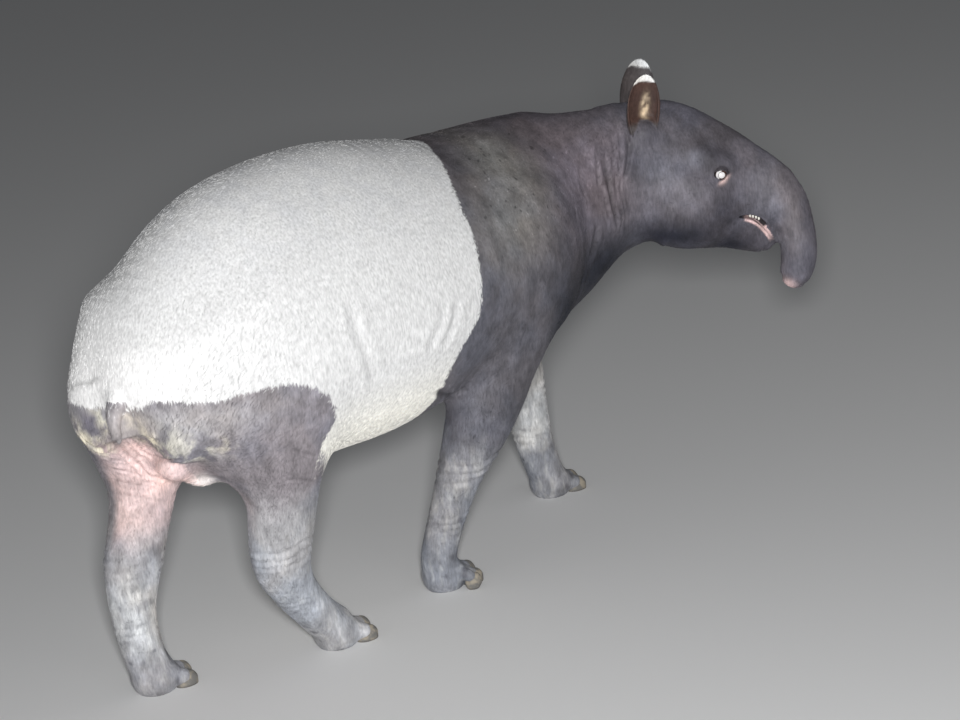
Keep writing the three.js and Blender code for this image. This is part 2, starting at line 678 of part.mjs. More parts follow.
// Ears: a cupped shell of ring sections on a solid foot. Pairs of values run from the foot to the tip.
const EAR = {
  foot: [12, 78, 906],
  splay: 16,
  lean: { left: 24, right: 16 },
  turnAhead: { left: 0.35, right: 0.35 },
  depth: [30, 9],
  wrap: [2, 1.35],
  shell: [7, 3.2],
  opens: [0.12, 0.34],
  widest: 0.42,
  widestReach: 0.62,
  levels: 8,
  around: 8,
};
function ear(s, inset) {
  const [h, l, z] = EAR.foot;
  const foot = headPoint(h, s * l, z);
  const hand = s > 0 ? 'left' : 'right';
  const top = headPoint(h + EAR.lean[hand], s * (l + EAR.splay), z + EAR_HEIGHT);
  const axis = unit(add(top, scale(foot, -1)));
  const open = unit(add(scale(headLeft, s), scale(headAhead, EAR.turnAhead[hand])));
  const facing = unit(add(open, scale(axis, -dot(open, axis))));
  const width = cross(facing, axis);
  const rings = [];
  for (let i = 0; i <= EAR.levels; i += 1) {
    const t = i / EAR.levels;
    const spread = Math.sqrt(Math.max(1 - ((t - EAR.widest) / EAR.widestReach) ** 2, 0.02));
    const halfWidth = (EAR_WIDTH / 2) * spread;
    const depth = lerp(...EAR.depth, t) * Math.min(spread + 0.1, 1);
    const wrap = lerp(...EAR.wrap, t);
    const opened = THREE.MathUtils.smoothstep(t, ...EAR.opens);
    const middle = add(foot, scale(axis, t * EAR_HEIGHT));
    const arc = (angle, shell) => add(middle, add(
      scale(width, Math.sin(angle) * (halfWidth - shell)),
      scale(facing, -Math.cos(angle) * (depth - shell)),
    ));
    const ring = [];
    for (let j = 0; j <= EAR.around; j += 1) ring.push(arc(lerp(-wrap, wrap, j / EAR.around), 0));
    for (let j = EAR.around - 1; j > 0; j -= 1) {
      const angle = lerp(-wrap, wrap, j / EAR.around);
      const chord = mix(arc(-wrap, 0), arc(wrap, 0), (Math.sin(angle) / Math.sin(wrap) + 1) / 2);
      ring.push(mix(mix(chord, middle, 0.12), arc(angle, lerp(...EAR.shell, t)), opened));
    }
    rings.push(ring);
  }
  const shape = solid(sleeve(rings));
  return inset ? shrunk(shape, inset) : shape;
}

// The line of the mouth from its corner to the chin, each row [h, z, height of the opening]
const MOUTH = [
  [226, 677, 3],
  [246, 674, 9],
  [266, 664, 12],
  [284, 646, 12],
  [300, 620, 10],
  [311, 592, 8],
  [317, 562, 8],
  [318, 530, 12],
];
const MOUTH_DEPTH = 24;
const MUZZLE_HALF = 52;
const LIP = { upper: 6, lower: 5, shift: 1.4, from: 0.15, to: 5.2, step: 0.85 };
const TEETH = { count: 4, start: 1.1, step: 0.36, radius: 3.4, length: 9, inset: 9, rise: 4 };

// A point of the mouth line, t rows from the corner, moved up or down across the line
function mouthPoint(t, shift) {
  const [h, z, opening] = between(MOUTH, t);
  const [h0, z0] = between(MOUTH, Math.max(t - 0.1, 0));
  const [h1, z1] = between(MOUTH, Math.min(t + 0.1, MOUTH.length - 1));
  const length = Math.hypot(h1 - h0, z1 - z0);
  const away = shift * (opening / 2) + Math.sign(shift) * Math.max(Math.abs(shift) - 1, 0) * 4;
  return [h - (away * (z1 - z0)) / length, z + (away * (h1 - h0)) / length];
}

// The opened mouth as a slit cut in from both sides and through at the front
function mouthSlit() {
  const steps = 14;
  const upper = [];
  const lower = [];
  for (let i = 0; i <= steps; i += 1) {
    const t = (i / steps) * (MOUTH.length - 1);
    upper.push(mouthPoint(t, 1));
    lower.unshift(mouthPoint(t, -1));
  }
  const plate = (points, width) => {
    const outline = new THREE.Shape(points.map(([h, z]) => new THREE.Vector2(h, z)));
    const slab = new THREE.ExtrudeGeometry(outline, { depth: width, bevelEnabled: false });
    slab.applyMatrix4(new THREE.Matrix4().makeBasis(
      new THREE.Vector3(...headAhead), new THREE.Vector3(0, 0, 1), new THREE.Vector3(...scale(headLeft, -1)),
    ));
    slab.translate(...headPoint(0, width / 2, 0));
    return solid(slab);
  };
  const core = [[200, 560], [322, 572], [310, 640], [288, 740], [200, 740]];
  return plate([...upper, ...lower], 240).subtract(plate(core, 2 * (MUZZLE_HALF - MOUTH_DEPTH)));
}

// A lip, as a rounded ridge on the skin along one side of the mouth line
function lip(s, shift, radius) {
  const points = [];
  for (let t = LIP.from; t < LIP.to; t += LIP.step) {
    const [h, z] = mouthPoint(t, shift);
    const skin = skinPoint(headPoint(h, s * BESIDE, z), scale(headLeft, -s));
    points.push(add(skin, scale(headLeft, -s * radius * 0.45)));
  }
  const isEnd = (i) => i === 0 || i === points.length - 1;
  return strand(points, points.map((_, i) => radius * (isEnd(i) ? 0.55 : 1)));
}

// The few small teeth that show under the upper lip
function teeth(s) {
  return Array.from({ length: TEETH.count }, (_, i) => {
    const t = TEETH.start + i * TEETH.step;
    const [h, z] = mouthPoint(t, 1);
    const skin = skinPoint(headPoint(h, s * BESIDE, z + TEETH.rise), scale(headLeft, -s));
    const root = add(skin, scale(headLeft, -s * TEETH.inset));
    const crown = new THREE.CylinderGeometry(TEETH.radius, TEETH.radius * 0.7, TEETH.length, 5);
    crown.rotateX(Math.PI / 2);
    crown.translate(...root);
    return solid(crown);
  });
}

// Upper and lower lid as ridges over the eye from corner to corner
const LIDS = [
  { lift: 0.62, radius: 4.2 },
  { lift: -0.55, radius: 3.4 },
];
const EYE_PLACE = { h: 186, z: 790, sunk: 0.56 };
const EYE_SLOPE = -0.35;
function lids(centre, normal) {
  const along = unit(add(headAhead, [0, 0, EYE_SLOPE]));
  const level = unit(add(along, scale(normal, -dot(along, normal))));
  const up = cross(normal, level);
  const rise = up[2] > 0 ? up : scale(up, -1);
  return LIDS.map(({ lift, radius }) => {
    const points = [-1, -0.6, 0, 0.6, 1].map((place) => {
      const out = 0.86 - 0.18 * place * place;
      const height = lift * Math.sqrt(1 - 0.92 * place * place);
      const direction = unit(add(add(scale(level, place * 0.86), scale(rise, height)), scale(normal, out)));
      return add(centre, scale(direction, EYE_RADIUS + radius * 0.45));
    });
    return strand(points, [radius * 0.7, radius, radius, radius, radius * 0.7]);
  });
}

// Nostrils at the tip of the proboscis
const NOSTRIL = { h: 362, z: 474, apart: 13, radii: [7, 6, 13] };
function nostril(s) {
  const hole = new THREE.SphereGeometry(1, 8, 6);
  hole.scale(...NOSTRIL.radii);
  hole.rotateZ(HEAD_TURN);
  hole.translate(...headPoint(NOSTRIL.h, s * NOSTRIL.apart, NOSTRIL.z));
  return solid(hole);
}

// Head, proboscis, ears and eyes
const EAR_CUT_HEIGHT = 920;
const SNOUT_CUT = { point: headPoint(316, 0, 690), normal: add(scale(headAhead, 0.62), [0, 0, -0.78]) };
const LIP_CUT = { point: headPoint(316, 0, 582), normal: add(scale(headAhead, 0.99), [0, 0, 0.1]) };

// A box round a place in the head's frame, as its low and high corners
function headBox(h, low, high, reach) {
  const corner = (z, sign) => headPoint(h, 0, z).map((v, k) => (k < 2 ? v + sign * reach : v));
  return [corner(low, -1), corner(high, 1)];
}

function addHead() {
  const snoutZone = (start) => beyond(SNOUT_CUT.point, SNOUT_CUT.normal, start)
    .intersect(beyond(LIP_CUT.point, LIP_CUT.normal, start));
  const snout = facets(body, ...headBox(340, 430, 770, 165), CELL.proboscis);
  const tip = [1, -1].reduce((shape, s) => shape.subtract(nostril(s)), snout.intersect(snoutZone(GAP / 2)));
  addPart('proboscis', tip.subtract(mouthSlit()), materials.dark_coat);
  const whole = facets(body, ...headBox(120, 430, 1010, 290), CELL.head);
  let head = whole.intersect(side(HEAD_BACK)).subtract(snoutZone(-GAP / 2));
  for (const s of [1, -1]) {
    head = head.add(lip(s, LIP.shift, LIP.upper)).add(lip(s, -LIP.shift, LIP.lower));
  }
  head = head.subtract(snoutZone(-GAP / 2)).subtract(mouthSlit());
  for (const s of [1, -1]) {
    const name = s > 0 ? 'left' : 'right';
    head = teeth(s).reduce((shape, tooth) => shape.add(tooth), head);
    const skin = skinPoint(headPoint(EYE_PLACE.h, s * BESIDE, EYE_PLACE.z), scale(headLeft, -s));
    const normal = outward(body, skin);
    const centre = add(skin, scale(normal, -EYE_RADIUS * EYE_PLACE.sunk));
    const globe = (grow) => solid(new THREE.SphereGeometry(EYE_RADIUS + grow, 14, 10).translate(...centre));
    head = lids(centre, normal).reduce((shape, lid) => shape.add(lid), head).subtract(globe(GAP));
    addPart(`eye_${name}`, globe(0), materials.eye);
    const above = (start) => beyond(headPoint(0, 0, EAR_CUT_HEIGHT), [0, 0, 1], start);
    addPart(`ear_${name}`, ear(s, 0).intersect(above(GAP)), materials.ear);
    head = head.subtract(ear(s, -GAP).intersect(above(0)));
  }
  addPart('head', head, materials.dark_coat);
}

const legEntries = Object.entries(LEGS);
addTrunk();
const tailBlock = facets(body, [-80, -90, 540], [60, 90, 790], CELL.tail);
addPart('tail', tailBlock.intersect(tailZone(GAP)), materials.dark_coat);
addHead();
legEntries.forEach(([name, leg]) => addLeg(name, leg));

// The middle of the model's box stands over the origin
const middle = new THREE.Box3().setFromObject(tapir).getCenter(new THREE.Vector3());
tapir.children.forEach((mesh) => mesh.geometry.translate(-middle.x, -middle.y, 0));

export default tapir;
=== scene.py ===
# The looks of a life-size Malayan tapir: one skin over the frame's flesh, short fur, eyes and hooves.
# Lengths are millimetres in the source's own frame until a mesh is made: x runs from rump to chest,
# y to the animal's left, z up.
import math

import bmesh
import bpy
import numpy as np
from mathutils import Matrix, Vector


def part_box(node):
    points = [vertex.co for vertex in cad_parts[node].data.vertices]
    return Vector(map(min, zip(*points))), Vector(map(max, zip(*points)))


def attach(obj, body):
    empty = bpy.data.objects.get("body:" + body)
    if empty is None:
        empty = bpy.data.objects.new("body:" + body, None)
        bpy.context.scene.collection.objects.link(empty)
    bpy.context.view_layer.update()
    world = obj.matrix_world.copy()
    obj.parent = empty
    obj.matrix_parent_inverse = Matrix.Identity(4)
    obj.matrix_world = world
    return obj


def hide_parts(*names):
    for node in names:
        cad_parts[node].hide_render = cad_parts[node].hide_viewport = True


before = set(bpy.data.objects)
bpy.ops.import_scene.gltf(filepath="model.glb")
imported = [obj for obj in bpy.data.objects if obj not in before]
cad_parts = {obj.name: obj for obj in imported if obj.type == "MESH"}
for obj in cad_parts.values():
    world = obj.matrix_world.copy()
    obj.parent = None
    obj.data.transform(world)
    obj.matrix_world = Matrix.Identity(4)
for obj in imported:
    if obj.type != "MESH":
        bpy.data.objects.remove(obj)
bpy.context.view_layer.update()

# Driving dimensions, as in the part's source
TRUNK_LENGTH = 1300
CROUP_HEIGHT = 1074
WITHERS_HEIGHT = 990
BELLY_HEIGHT = 402
BARREL_WIDTH = 590
HEAD_TURN = math.radians(-45)
HEAD_ROOT = (1520, -140)
EYE_RADIUS = 16
EAR_HEIGHT = 136
EAR_WIDTH = 85
MM = 0.001
TINY = 1e-9

COARSE = 1.0

# How far the skin lies inside the solids, under the fur
COAT_DEPTH = 3.0
FACE_COAT_DEPTH = 1.2
FACE_START = (-70, 60)
FOOT_START = (60, 200)


def unit(v):
    """A vector, or each row of a list of vectors, at length one."""
    v = np.asarray(v, float)
    return v / np.linalg.norm(v, axis=-1, keepdims=True).clip(1e-12)


def smooth_step(x, low, high):
    """Rises smoothly from 0 to 1 between two values."""
    t = np.clip((np.asarray(x, float) - low) / (high - low), 0, 1)
    return t * t * (3 - 2 * t)


def band(x, rising, falling):
    """One between a rising and a falling edge, each given by the values where it starts and ends."""
    return smooth_step(x, *rising) * (1 - smooth_step(x, *falling))


def bell(x, middle, reach):
    """One at the middle, falling away evenly on both sides."""
    return np.exp(-(((x - middle) / reach) ** 2))


def spline(rows, steps):
    """A smooth row of numbers through listed rows, with steps to each interval."""
    rows = np.asarray(rows, float)
    last = len(rows) - 1
    t = np.linspace(0, last, last * steps + 1)
    i = np.minimum(t.astype(int), last - 1)
    f = (t - i)[:, None]
    before, here, there, after = (rows[np.clip(i + k, 0, last)] for k in (-1, 0, 1, 2))
    bend = 2 * before - 5 * here + 4 * there - after
    twist = 3 * here - before - 3 * there + after
    return 0.5 * (2 * here + (there - before) * f + bend * f**2 + twist * f**3)


def nearest_on(line, p):
    """The segment of a line that each point is nearest to, and how far along that segment."""
    best = np.full(len(p), np.inf)
    index = np.zeros(len(p), int)
    part = np.zeros(len(p))
    for i in range(len(line) - 1):
        start = line[i]
        step = line[i + 1] - start
        q = p - start
        t = np.clip(q @ step / (step @ step), 0, 1)
        gap = ((q - t[:, None] * step) ** 2).sum(1)
        better = gap < best
        best[better] = gap[better]
        index[better] = i
        part[better] = t[better]
    return index, part, np.sqrt(best)


def ellipsoid_distance(s, u, w, a, b, c):
    """About how far a place lies outside an oval of radii a, b and c, from its offsets along them."""
    k = np.sqrt((s / a) ** 2 + (u / b) ** 2 + (w / c) ** 2)
    steepness = np.sqrt((s / a**2) ** 2 + (u / b**2) ** 2 + (w / c**2) ** 2)
    deep = -np.minimum(np.minimum(a, b), c)
    return np.where(steepness < TINY, deep, k * (k - 1) / np.maximum(steepness, TINY))


class Form:
    """A shape given by its distance, with the box that holds it."""

    def __init__(self, low, high, distance):
        self.low = np.asarray(low, float)
        self.high = np.asarray(high, float)
        self.distance = distance

    def outside(self, p):
        return np.sqrt((np.maximum(np.maximum(self.low - p, p - self.high), 0) ** 2).sum(1))


LOFT_STEPS = 5


def loft(rows, side=None, pinch=0.0, cap=60.0, start_cap=None):
    """Oval sections along a smooth line. A row is x, y, z, half width, reach up, reach down."""
    line = spline(rows, LOFT_STEPS)
    count = len(line) - 1
    along = unit(np.gradient(line[:, :3], axis=0))
    wanted = np.cross([0, 0, 1], along) if side is None else np.broadcast_to(side, along.shape)
    across = unit(wanted - (wanted * along).sum(1)[:, None] * along)
    up = np.cross(along, across)
    reach = line[:, 3:6].max() + cap

    def distance(p):
        index, part, _ = nearest_on(line[:, :3], p)

        def on_line(table):
            return table[index] + (table[index + 1] - table[index]) * part[:, None]

        row = on_line(line)
        q = p - row[:, :3]
        s = (q * on_line(across)).sum(1)
        u = (q * on_line(up)).sum(1)
        is_end = ((index == 0) & (part == 0)) | ((index == count - 1) & (part == 1))
        w = np.where(is_end, (q * on_line(along)).sum(1), 0)
        above = u > 0
        half = np.where(above, row[:, 3] * (1 - pinch * np.minimum(u / row[:, 4], 1)), row[:, 3])
        reach_on = np.where(index == 0, start_cap or cap, cap)
        return ellipsoid_distance(s, u, w, half, np.where(above, row[:, 4], row[:, 5]), reach_on)

    return Form(line[:, :3].min(0) - reach, line[:, :3].max(0) + reach, distance)


def ball(centre, radii, axes=np.eye(3)):
    """An oval mass with radii along three directions."""
    centre = np.asarray(centre, float)
    axes = np.asarray(axes, float)

    def distance(p):
        q = (p - centre) @ axes.T
        return ellipsoid_distance(q[:, 0], q[:, 1], q[:, 2], *radii)

    reach = max(radii)
    return Form(centre - reach, centre + reach, distance)


def strand(points, radii):
    """A round strand through points, with a radius at each."""
    line = spline(np.column_stack([points, radii]), 4)

    def distance(p):
        index, part, gap = nearest_on(line[:, :3], p)
        return gap - (line[index, 3] + (line[index + 1, 3] - line[index, 3]) * part)

    reach = line[:, 3].max()
    return Form(line[:, :3].min(0) - reach, line[:, :3].max(0) + reach, distance)


def blend(a, b, softness):
    """Two distances joined with a rounded seam."""
    h = np.maximum(softness - np.abs(a - b), 0) / softness
    return np.minimum(a, b) - h * h * softness / 4


# Trunk sections from rump to chest: place along the trunk, top, underside and half width
HALF_BARREL = BARREL_WIDTH / 2
TRUNK = [
    (0.015, CROUP_HEIGHT - 338, 596, HALF_BARREL * 0.25),
    (0.055, CROUP_HEIGHT - 238, 532, HALF_BARREL * 0.52),
    (0.12, CROUP_HEIGHT - 126, 462, HALF_BARREL * 0.76),
    (0.24, CROUP_HEIGHT - 32, BELLY_HEIGHT + 12, HALF_BARREL * 0.93),
    (0.38, CROUP_HEIGHT, BELLY_HEIGHT + 8, HALF_BARREL * 0.98),
    (0.53, CROUP_HEIGHT - 14, BELLY_HEIGHT + 2, HALF_BARREL),
    (0.68, WITHERS_HEIGHT + 34, BELLY_HEIGHT + 46, HALF_BARREL * 0.97),
    (0.8, WITHERS_HEIGHT - 4, BELLY_HEIGHT + 98, HALF_BARREL * 0.87),
    (0.92, WITHERS_HEIGHT - 28, BELLY_HEIGHT + 72, HALF_BARREL * 0.72),
]
BARREL_LINE = 0.46


def trunk_row(place, top, bottom, width):
    """A section of the trunk as a row for the loft."""
    z = bottom + (top - bottom) * BARREL_LINE
    return place * TRUNK_LENGTH, 0, z, width, top - z, z - bottom


# Neck sections, from inside the chest to behind the ears
NECK = [
    (1060, 0, 715, 215, 250, 270),
    (1180, -10, 735, 182, 246, 282),
    (1290, -38, 758, 148, 229, 252),
    (1385, -80, 784, 124, 196, 204),
    (1478, -102, 806, 110, 162, 178),
]

# The head's own frame: h along the turned head, l to its left, z up
head_ahead = np.array([math.cos(HEAD_TURN), math.sin(HEAD_TURN), 0])
head_left = np.array([-math.sin(HEAD_TURN), math.cos(HEAD_TURN), 0])
head_axes = np.array([head_ahead, head_left, [0, 0, 1]])


def head_point(h, l, z):
    """A place given in the head's own frame."""
    return np.array([*HEAD_ROOT, z]) + h * head_ahead + l * head_left


def head_rows(rows):
    """Sections of the head as rows for the loft."""
    return [(*head_point(h, 0, z), *sizes) for h, z, *sizes in rows]


def head_tilted(slope):
    """The head's directions, tilted downwards ahead."""
    ahead = unit(head_ahead - np.array([0, 0, slope]))
    return np.array([ahead, head_left, np.cross(ahead, head_left)])


# Head sections, each h, z, half width, reach up, reach down
SKULL = [
    (-60, 812, 108, 152, 176),
    (40, 795, 112, 170, 168),
    (130, 755, 106, 158, 152),
    (215, 705, 82, 142, 128),
    (280, 662, 56, 118, 60),
]
JAW = [
    (70, 690, 84, 60, 66),
    (165, 655, 64, 60, 58),
    (240, 622, 46, 44, 46),
    (285, 602, 36, 30, 38),
    (300, 592, 28, 20, 28),
]
SNOUT = [
    (215, 745, 62, 66, 60),
    (275, 727, 58, 78, 62),
    (328, 677, 52, 72, 48),
    (362, 612, 46, 50, 42),
    (368, 548, 41, 44, 44),
    (359, 505, 35, 38, 40),
    (353, 487, 27, 26, 30),
]

# Legs: rows run down from inside the trunk, as x, y outward, z, half width, reach ahead, reach behind
LEGS = {
    "foreleg_right": dict(side=-1, toes=4, foot=(786, 84), rows=[
        (1055, 105, 730, 100, 125, 130),
        (1000, 146, 590, 92, 120, 116),
        (946, 150, 480, 82, 114, 100),
        (900, 140, 375, 74, 84, 88),
        (838, 119, 252, 54, 42, 60),
        (797, 101, 152, 44, 37, 49),
        (776, 90, 85, 42, 40, 44),
        (782, 84, 42, 46, 46, 44),
    ]),
    "foreleg_left": dict(side=1, toes=4, foot=(1352, 84), rows=[
        (1120, 105, 730, 100, 125, 130),
        (1205, 140, 590, 90, 112, 112),
        (1268, 142, 475, 76, 92, 84),
        (1316, 128, 365, 62, 74, 65),
        (1325, 114, 255, 53, 60, 60),
        (1330, 99, 155, 46, 47, 56),
        (1340, 89, 85, 44, 44, 50),
        (1350, 84, 42, 46, 46, 44),
    ]),
    "hindleg_right": dict(side=-1, toes=3, foot=(432, 92), rows=[
        (250, 92, 800, 112, 160, 170),
        (286, 130, 650, 108, 142, 160),
        (290, 140, 525, 94, 98, 124),
        (294, 132, 405, 72, 86, 86),
        (288, 118, 270, 58, 66, 80),
        (318, 106, 185, 48, 50, 58),
        (376, 96, 98, 44, 48, 44),
        (424, 92, 46, 48, 50, 46),
    ]),
    "hindleg_left": dict(side=1, toes=3, foot=(62, 88), rows=[
        (205, 95, 800, 118, 150, 160),
        (172, 130, 650, 122, 150, 164),
        (150, 136, 525, 98, 124, 116),
        (128, 128, 410, 72, 78, 68),
        (76, 114, 275, 56, 60, 77),
        (46, 104, 185, 50, 51, 53),
        (46, 93, 98, 46, 47, 45),
        (58, 88, 46, 48, 50, 46),
    ]),
}
LEG_BLEND = {3: 85, 4: 55}
TOE = dict(root=15, root_height=46, reach=62, tip_height=20, spread=37, radius=22, blend=14)
OUTER_TOE = dict(shorter=15, splay=0.3, smaller=0.12)
FOURTH_TOE = dict(shorter=22, root_rise=14, tip_rise=16, smaller=0.15)
PAD = dict(ahead=4, height=20, radii=(48, 47, 40), blend=24)
TOE_PLACES = {3: (-1, 0, 1), 4: (-1, 0, 1, 1.75)}
TAIL = [
    (50, 0, 712, 26, 24, 24),
    (8, -1, 690, 24, 22, 22),
    (-14, -4, 650, 19, 17, 17),
    (-15, -8, 606, 13, 11, 11),
]
# Buttocks and the fold of the groin: centre and radii
REAR_FLESH = [
    ((62, 98, 622), (56, 66, 70)),
    ((98, -74, 606), (62, 66, 74)),
    ((120, -20, 512), (46, 40, 34)),
    ((160, -22, 480), (30, 16, 20)),
    ((190, -20, 457), (28, 13, 14)),
]


# Round masses that come on both sides. Those of the face are h, l, z, radii, slope and softness
SHOULDER = dict(centre=(1075, 165, 690), radii=(95, 55, 165), softness=90)
FACE_MASSES = [
    (92, 62, 700, (92, 46, 78), 0.5, 50),
    (168, 74, 822, (52, 18, 20), 0.6, 34),
    (130, 84, 762, (66, 20, 16), 0.45, 40),
]
EAR_ROOT = dict(place=(14, 70, 904), radii=(30, 28, 28), softness=30)


def toes(leg):
    """Where each toe of a foot starts and ends, its heading and its size."""
    x, y = leg["foot"][0], leg["foot"][1] * leg["side"]
    for place in TOE_PLACES[leg["toes"]]:
        away = abs(place)
        fourth = max(away - 1, 0)
        out = place * leg["side"]
        reach = TOE["reach"] - OUTER_TOE["shorter"] * away - FOURTH_TOE["shorter"] * fourth
        yield dict(
            root=(x, y + TOE["root"] * out, TOE["root_height"] + FOURTH_TOE["root_rise"] * fourth),
            tip=(x + reach, y + TOE["spread"] * out, TOE["tip_height"] + FOURTH_TOE["tip_rise"] * fourth),
            heading=unit([1, OUTER_TOE["splay"] * out, 0]),
            size=1 - OUTER_TOE["smaller"] * away - FOURTH_TOE["smaller"] * fourth,
        )


def leg_forms(leg):
    """A leg's column, pad and toes, each with the softness of its seam."""
    rows = [(x, y * leg["side"], *rest) for x, y, *rest in leg["rows"]]
    x, y = leg["foot"]
    yield loft(rows, side=(0, 1, 0), cap=40), LEG_BLEND[leg["toes"]]
    yield ball((x + PAD["ahead"], y * leg["side"], PAD["height"]), PAD["radii"]), PAD["blend"]
    for toe in toes(leg):
        radius = TOE["radius"] * toe["size"]
        yield strand([toe["root"], toe["tip"]], [radius, radius]), TOE["blend"]


def shoulder(s):
    """The mass of one shoulder."""
    x, y, z = SHOULDER["centre"]
    return ball((x, s * y, z), SHOULDER["radii"]), SHOULDER["softness"]


def face_mass(row, s):
    """A mass of the face on one side."""
    h, l, z, radii, tilt, softness = row
    return ball(head_point(h, s * l, z), radii, head_tilted(tilt)), softness


def ear_root(s):
    """The mass that an ear stands on."""
    h, l, z = EAR_ROOT["place"]
    return ball(head_point(h, s * l, z), EAR_ROOT["radii"]), EAR_ROOT["softness"]


def both(make):
    """What a function makes for each side."""
    return [make(1), make(-1)]


SEAMS = dict(neck=90, rear=30, tail=20, skull=55, jaw=22, snout=30)
trunk = loft([trunk_row(*row) for row in TRUNK], pinch=0.1, cap=60, start_cap=12)
soft_forms = [
    (loft(NECK, pinch=0.22, cap=60), SEAMS["neck"]),
    *both(shoulder),
    *[(ball(centre, radii), SEAMS["rear"]) for centre, radii in REAR_FLESH],
    (loft(TAIL, side=(0, 1, 0), cap=8), SEAMS["tail"]),
    *[form for leg in LEGS.values() for form in leg_forms(leg)],
    (loft(head_rows(SKULL), side=head_left, pinch=0.24, cap=30), SEAMS["skull"]),
    (loft(head_rows(JAW), side=head_left, cap=12), SEAMS["jaw"]),
    (loft(head_rows(SNOUT), side=head_left, cap=19), SEAMS["snout"]),
    *[face_mass(row, s) for row in FACE_MASSES for s in (1, -1)],
    *both(ear_root),
]


def body(p):
    """Distance to the plain body, as the solids have it."""
    p = np.atleast_2d(p)
    d = trunk.distance(p)
    for form, softness in soft_forms:
        near = np.flatnonzero(form.outside(p) < np.maximum(d, 0) + softness)
        if len(near):
            d[near] = blend(d[near], form.distance(p[near]), softness)
    return d


def slope(field, p, step=0.5):
    """The direction straight out of a surface, at each point."""
    here = field(p)
    ahead = [field(p + step * axis) - here for axis in np.eye(3)]
    return unit(np.stack(ahead, 1)), here


WAY_IN = dict(steps=60, share=0.6)


def skin_point(start, direction):
    """The point of the skin met on the way in from a start point along a direction."""
    p = np.array(start, float)
    for _ in range(WAY_IN["steps"]):
        p = p + np.asarray(direction) * body(p)[0] * WAY_IN["share"]
    return p


# Numbers that scramble a place into a random value
PRIMES = (73856093, 19349663, 83492791)
SCRAMBLE = 1274126177
LEVELS = 0xFFFF


def lattice(ix, iy, iz):
    """A fixed random number from 0 to 1 at each whole-number place."""
    n = (ix * PRIMES[0]) ^ (iy * PRIMES[1]) ^ (iz * PRIMES[2])
    n = (n ^ (n >> 13)) * SCRAMBLE
    return ((n ^ (n >> 16)) & LEVELS) / LEVELS


def noise(p, size):
    """Smooth random values from -1 to 1 over lumps of a given size, one number or one for each axis."""
    q = p / size
    whole = np.floor(q).astype(np.int64)
    f = q - whole
    f = f * f * (3 - 2 * f)
    total = np.zeros(len(p))
    for corner in range(8):
        step = np.array([corner & 1, corner >> 1 & 1, corner >> 2 & 1])
        weight = np.prod(np.where(step, f, 1 - f), axis=1)
        total += weight * lattice(*(whole + step).T)
    return 2 * total - 1


# Ears, as in the part's source: pairs of values run from the foot to the tip
EAR = dict(foot=(12, 78, 906), splay=16, lean={1: 24, -1: 16}, turn_ahead=0.35, depth=(30, 9),
           wrap=(2, 1.35), shell=(6.5, 2.6), opens=(0.1, 0.3), widest=0.42, reach=0.62, inset=0.8,
           levels=44, around=36, sunk=-0.16, tip=1.035, least=0.015, fuller=0.1, blunt=2.5, sag=0.12)


def ear_axes(s):
    """The foot of an ear, with its directions up, across and out of the cup."""
    h, l, z = EAR["foot"]
    foot = head_point(h, s * l, z)
    top = head_point(h + EAR["lean"][s], s * (l + EAR["splay"]), z + EAR_HEIGHT)
    axis = unit(top - foot)
    opening = unit(s * head_left + EAR["turn_ahead"] * head_ahead)
    facing = unit(opening - axis * (opening @ axis))
    return foot, axis, np.cross(facing, axis), facing


def ear_place(p, s):
    """Points in an ear's own frame: up the ear from 0 to 1, across, and out of the cup."""
    foot, axis, width, facing = ear_axes(s)
    q = p - foot
    return q @ axis / EAR_HEIGHT, q @ width, q @ facing


def softly_above(a, b, softness):
    """The larger of two distances, with a rounded seam."""
    return -blend(-a, -b, softness)


def between(pair, t):
    """A value between two, from 0 to 1."""
    return pair[0] + (pair[1] - pair[0]) * t


def ear_shell(s):
    """An ear as a cupped shell of ring sections, closed at its foot and tip."""
    foot, axis, width, facing = ear_axes(s)
    rings = []
    for t in np.linspace(EAR["sunk"], EAR["tip"], EAR["levels"]):
        level = min(max(t, 0), 1)
        spread = math.sqrt(max(1 - ((t - EAR["widest"]) / EAR["reach"]) ** 2, EAR["least"]))
        half_width = EAR_WIDTH / 2 * spread - EAR["inset"]
        depth = between(EAR["depth"], level) * min(spread + EAR["fuller"], 1) - EAR["inset"]
        wrap = between(EAR["wrap"], level)
        shell = between(EAR["shell"], level) * min(1, spread * EAR["blunt"])
        opened = smooth_step(t, *EAR["opens"])
        middle = foot + axis * t * EAR_HEIGHT
        angle = np.linspace(-wrap, wrap, EAR["around"] + 1)[:, None]

        def arc(turn, inward):
            across = np.sin(turn) * (half_width - inward)
            return middle + width * across - facing * np.cos(turn) * (depth - inward)

        turn = angle[-2:0:-1]
        chord = arc(-wrap, 0) + (arc(wrap, 0) - arc(-wrap, 0)) * (np.sin(turn) / math.sin(wrap) + 1) / 2
        lid = chord + (middle - chord) * EAR["sag"]
        rings.append(np.vstack([arc(angle, 0), lid + (arc(turn, shell) - lid) * opened]))
    count = len(rings[0])
    faces = []
    for i in range(len(rings) - 1):
        for j in range(count):
            k = (j + 1) % count
            faces.append((i * count + j, i * count + k, (i + 1) * count + k, (i + 1) * count + j))
    faces.append(tuple(range(count))[::-1])
    faces.append(tuple((len(rings) - 1) * count + j for j in range(count)))
    return np.vstack(rings), faces


